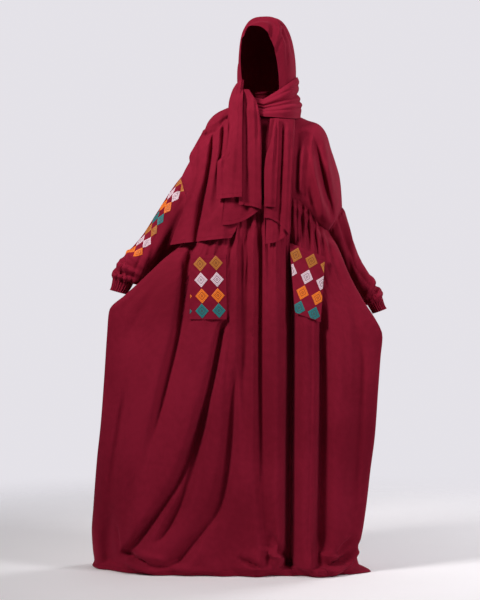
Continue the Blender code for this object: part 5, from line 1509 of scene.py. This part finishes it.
def on_pocket(corners, grid, step_across, step_down):
    """A place function for diamonds on a pocket, with the steps of its lattice as x and z."""
    normals = outward(grid)
    half_across = np.array(step_across) / 2 * DIAMOND_FILL[0]
    half_down = np.array(step_down) / 2 * DIAMOND_FILL[1]

    def place(middle_x, middle_z, across, down):
        middle = np.array((middle_x, middle_z))
        target = middle + across[..., None] * half_across + down[..., None] * half_down
        s, t = np.full((2,) + across.shape, 0.5)
        for _ in range(QUAD_ROUNDS):
            here = in_quad(corners, s, t)
            by_s = (in_quad(corners, s + QUAD_STEP, t) - here) / QUAD_STEP
            by_t = (in_quad(corners, s, t + QUAD_STEP) - here) / QUAD_STEP
            miss = target - here
            det = by_s[..., 0] * by_t[..., 1] - by_s[..., 1] * by_t[..., 0]
            s = s + (miss[..., 0] * by_t[..., 1] - miss[..., 1] * by_t[..., 0]) / det
            t = t + (by_s[..., 0] * miss[..., 1] - by_s[..., 1] * miss[..., 0]) / det
        inside = (np.minimum(s, t) > POCKET_CLEAR) & (np.maximum(s, t) < 1 - POCKET_CLEAR)
        s, t = (np.clip(share, POCKET_CLEAR, 1 - POCKET_CLEAR) for share in (s, t))
        spot, normal = on_grid(grid, normals, s, t)
        return spot, normal, inside

    return place


def on_sleeve(grid, side):
    """A place function for diamonds on a sleeve: distance round from the outer line, distance along."""
    whole = closed(grid)
    normals = closed(outward(grid, True))
    rows, columns = whole.shape[:2]
    outer_column = 0 if side < 0 else columns - 2
    run = np.concatenate([[0], np.cumsum(np.linalg.norm(np.diff(whole[:, outer_column], axis=0), axis=1))])
    girth = np.linalg.norm(np.diff(whole, axis=1), axis=2).sum(axis=1)

    def place(middle_round, middle_along, across, down):
        narrow = 1 - STRIP_NARROWING * middle_along / run[-1]
        around_at = STRIP_ROUND + (middle_round - STRIP_ROUND + across * DIAMOND_HALF_WIDTH) * narrow
        along = middle_along + down * DIAMOND_HALF_HEIGHT - STRIP_SKEW * (around_at - STRIP_ROUND)
        inside = along > STRIP_CLEAR
        row = np.interp(np.maximum(along, STRIP_CLEAR), run, np.arange(rows))
        turn = around_at / np.interp(row, np.arange(rows), girth) * -side
        share = (turn if side < 0 else (columns - 2) / (columns - 1) - turn) % 1.0
        spot, normal = on_grid(whole, normals, share, row / (rows - 1))
        return spot, normal, inside

    return place


def sleeve_diamonds():
    """Rows of the strip down a sleeve: two columns of diamonds whose colours run in turn."""
    colours = list(THREADS)
    return [
        (colours[row % len(colours)], STRIP_ROUND + STRIP_ACROSS * column, STRIP_START + STRIP_STEP * row)
        for row in range(STRIP_ROWS)
        for column in range(2)
    ]


def normals_above(panel, above):
    """Normals for the first row of the skirt: those of the yoke's last row, and its own at both corners."""
    foot = above[-1, :, 0]
    normal = outward(above)[-1]
    normal[:, 2] = 0
    order = np.argsort(foot)
    read = stacked(*(np.interp(panel[0, :, 0], foot[order], normal[order, k]) for k in range(3)))
    own = outward(panel, seams=skirt_seams(panel))[0]
    columns = skirt_columns()
    corner = ease(1 - np.minimum(columns, 1 - columns) / SEAM_END)[:, None]
    mixed = read * (1 - corner) + own * corner
    return mixed / np.linalg.norm(mixed, axis=1, keepdims=True)


# The dress

yoke_front = yoke(YOKE_FOLDS, True)
yoke_back = yoke(BACK_YOKE_FOLDS, False)
skirt_front = lined(skirt(FRONT_FOLDS, True, yoke_front[-1]), SKIRT_LINES)
# The columns of the back panels run the other way, so that their walls lie inside
skirt_back = skirt(BACK_FOLDS, False, yoke_back[-1])[:, ::-1]
yoke_front = lined(yoke_front, YOKE_LINES)
yoke_back = yoke_back[:, ::-1]
pieces = {
    "skirt_front": skirt_front,
    "skirt_back": skirt_back,
    "yoke_front": yoke_front,
    "yoke_back": yoke_back,
}
for name, side, rings, cuff_rings, ends, creases, lines in (
    ("right", RIGHT, RIGHT_SLEEVE, RIGHT_CUFF, RIGHT_ENDS, RIGHT_SLEEVE_CREASES, RIGHT_SLEEVE_LINES),
    ("left", LEFT, LEFT_SLEEVE, LEFT_CUFF, LEFT_ENDS, LEFT_SLEEVE_CREASES, LEFT_SLEEVE_LINES),
):
    sleeve = tube(rings, SLEEVE_ROWS, SLEEVE_COLUMNS, side, SLEEVE_GATHERS, SLEEVE_PUFF, ends)
    pieces["sleeve_" + name] = lined(creased(sleeve, creases, True), lines, True)
    pieces["cuff_" + name] = tucked_in(tube(cuff_rings, CUFF_ROWS, CUFF_COLUMNS, side, CUFF_GATHERS))
beneath = [surface(skirt_front)]
pieces["pocket_right"] = pocket(RIGHT_POCKET, beneath)
pieces["pocket_left"] = pocket(LEFT_POCKET, beneath)

# The scarf, from the hood down and then each stretch over those beneath it

hood_grid = lined(creased(hood(), HOOD_CREASES), HOOD_LINES)
wrap_grid = neck_wrap(hood_grid, [surface(yoke_front), surface(yoke_back)])
beneath = beneath + [surface(pieces[node]) for node in ("yoke_front", "pocket_right", "pocket_left")]
left_back = turned_piece(LEFT_BACK, LEFT_BACK_TOP_Z, LEFT_BACK_HEMS, LEFT_BACK_GRID, LEFT_BACK_FOLDS, beneath)
left_front = flat_piece(LEFT_FRONT, LEFT_FRONT_GRID, LEFT_FRONT_FOLDS, beneath + [surface(left_back)])
beneath = beneath + [surface(pieces["sleeve_right"], True)]
drape = lined(flat_piece(DRAPE_OUTLINE, DRAPE_GRID, DRAPE_FOLDS, beneath), DRAPE_LINES)
beneath = beneath + [surface(drape), surface(wrap_grid, True)]
right_back = turned_piece(
    RIGHT_BACK, RIGHT_BACK_TOP_Z, RIGHT_BACK_HEMS, RIGHT_BACK_GRID, RIGHT_BACK_FOLDS, beneath
)
right_front = flat_piece(RIGHT_FRONT, RIGHT_FRONT_GRID, RIGHT_FRONT_FOLDS, beneath + [surface(right_back)])
pieces.update(
    scarf_hood=hood_grid,
    scarf_neck_wrap=wrap_grid,
    scarf_shoulder_drape=drape,
    scarf_end_right_back=right_back,
    scarf_end_right_front=right_front,
    scarf_end_left_back=left_back,
    scarf_end_left_front=left_front,
)

# Objects, with the embroidery on their cloth

crepes = {name: crepe(name) for name in ("dress_crepe", "scarf_crepe")}
threads = [thread("thread_" + name, colour) for name, colour in THREADS.items()]
on_right_pocket = on_pocket(RIGHT_POCKET, pieces["pocket_right"], RIGHT_POCKET_ACROSS, RIGHT_POCKET_DOWN)
on_left_pocket = on_pocket(LEFT_POCKET, pieces["pocket_left"], LEFT_POCKET_ACROSS, LEFT_POCKET_DOWN)
strip = sleeve_diamonds()
embroideries = {
    node: embroidery(node + "_embroidery", diamonds, place, threads)
    for node, diamonds, place in (
        ("pocket_right", RIGHT_POCKET_DIAMONDS, on_right_pocket),
        ("pocket_left", LEFT_POCKET_DIAMONDS, on_left_pocket),
        ("sleeve_right", strip, on_sleeve(pieces["sleeve_right"], RIGHT)),
        ("sleeve_left", strip, on_sleeve(pieces["sleeve_left"], LEFT)),
    )
}
first_normals = {
    "skirt_front": normals_above(skirt_front, yoke_front),
    "skirt_back": normals_above(skirt_back, yoke_back),
}
for node, (slot, ring, hem, flat, held, rests_on) in CLOTHS.items():
    grid = pieces[node]
    seams = skirt_seams(grid) if node in first_normals else ()
    material = crepes["scarf_crepe" if slot == "scarf_crepe" else "dress_crepe"]
    piece = shell(node + "_cloth", grid, material, ring, hem, seams, first_normals.get(node))
    worked = [embroideries[node]] if node in embroideries else []
    for thing in worked:
        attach(thing, "root")
    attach(piece, "root")
    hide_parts(node)

# Stage


def stage():
    """A pale floor that fades out into the backdrop colour, soft lights and the camera."""
    world = bpy.data.worlds.new("studio")
    world.use_nodes = True
    nodes, links = world.node_tree.nodes, world.node_tree.links
    nodes["Background"].inputs[0].default_value = BACKDROP
    path = nodes.new("ShaderNodeLightPath")
    strength = nodes.new("ShaderNodeMapRange")
    links.new(path.outputs["Is Camera Ray"], strength.inputs["Value"])
    strength.inputs["To Min"].default_value = ROOM_LIGHT
    strength.inputs["To Max"].default_value = 1.0
    links.new(strength.outputs["Result"], nodes["Background"].inputs[1])
    bpy.context.scene.world = world
    bpy.context.scene.view_settings.view_transform = "Standard"
    half = FLOOR_RADIUS
    corners = np.array([(-half, -half, 0), (half, -half, 0), (half, half, 0), (-half, half, 0)], float)
    g = Graph("floor_paper")
    g.material.surface_render_method = "BLENDED"
    place = g.node("ShaderNodeTexCoord")
    distance = g.node("ShaderNodeVectorMath", operation="LENGTH")
    g.join(place.outputs["Object"], distance.inputs[0])
    g.join(g.ramp(distance.outputs["Value"], FLOOR_SOLID, FLOOR_RADIUS, 1.0, 0.0), g.shader.inputs["Alpha"])
    grain = g.noise(place.outputs["Object"], FLOOR_GRAIN)
    paper = g.finished(g.mix(grain, FLOOR_DARK, FLOOR_LIGHT), FLOOR_SURFACE)
    floor = mesh_object("floor", corners, np.array([[0, 1, 2, 3]]), corners[:, :2], [paper], False)
    floor.location = (CAMERA[0], 0.0, FLOOR_TOP)
    for name, size, power, spread, spot, aim, colour in LIGHTS:
        data = bpy.data.lights.new(name, "AREA")
        data.shape = "RECTANGLE"
        data.size, data.size_y = size
        data.energy = power
        data.spread = math.radians(spread)
        data.color = colour
        lamp = linked(name, data)
        lamp.location = spot
        lamp.rotation_euler = (Vector(aim) - Vector(spot)).to_track_quat("-Z", "Y").to_euler()
    camera = bpy.data.cameras.new("camera")
    camera.lens = LENS
    camera.sensor_width = SENSOR
    camera.clip_end = CLIP_END
    view = linked("camera", camera)
    view.location = CAMERA
    view.rotation_euler = (math.pi / 2, 0, 0)
    bpy.context.scene.camera = view


stage()
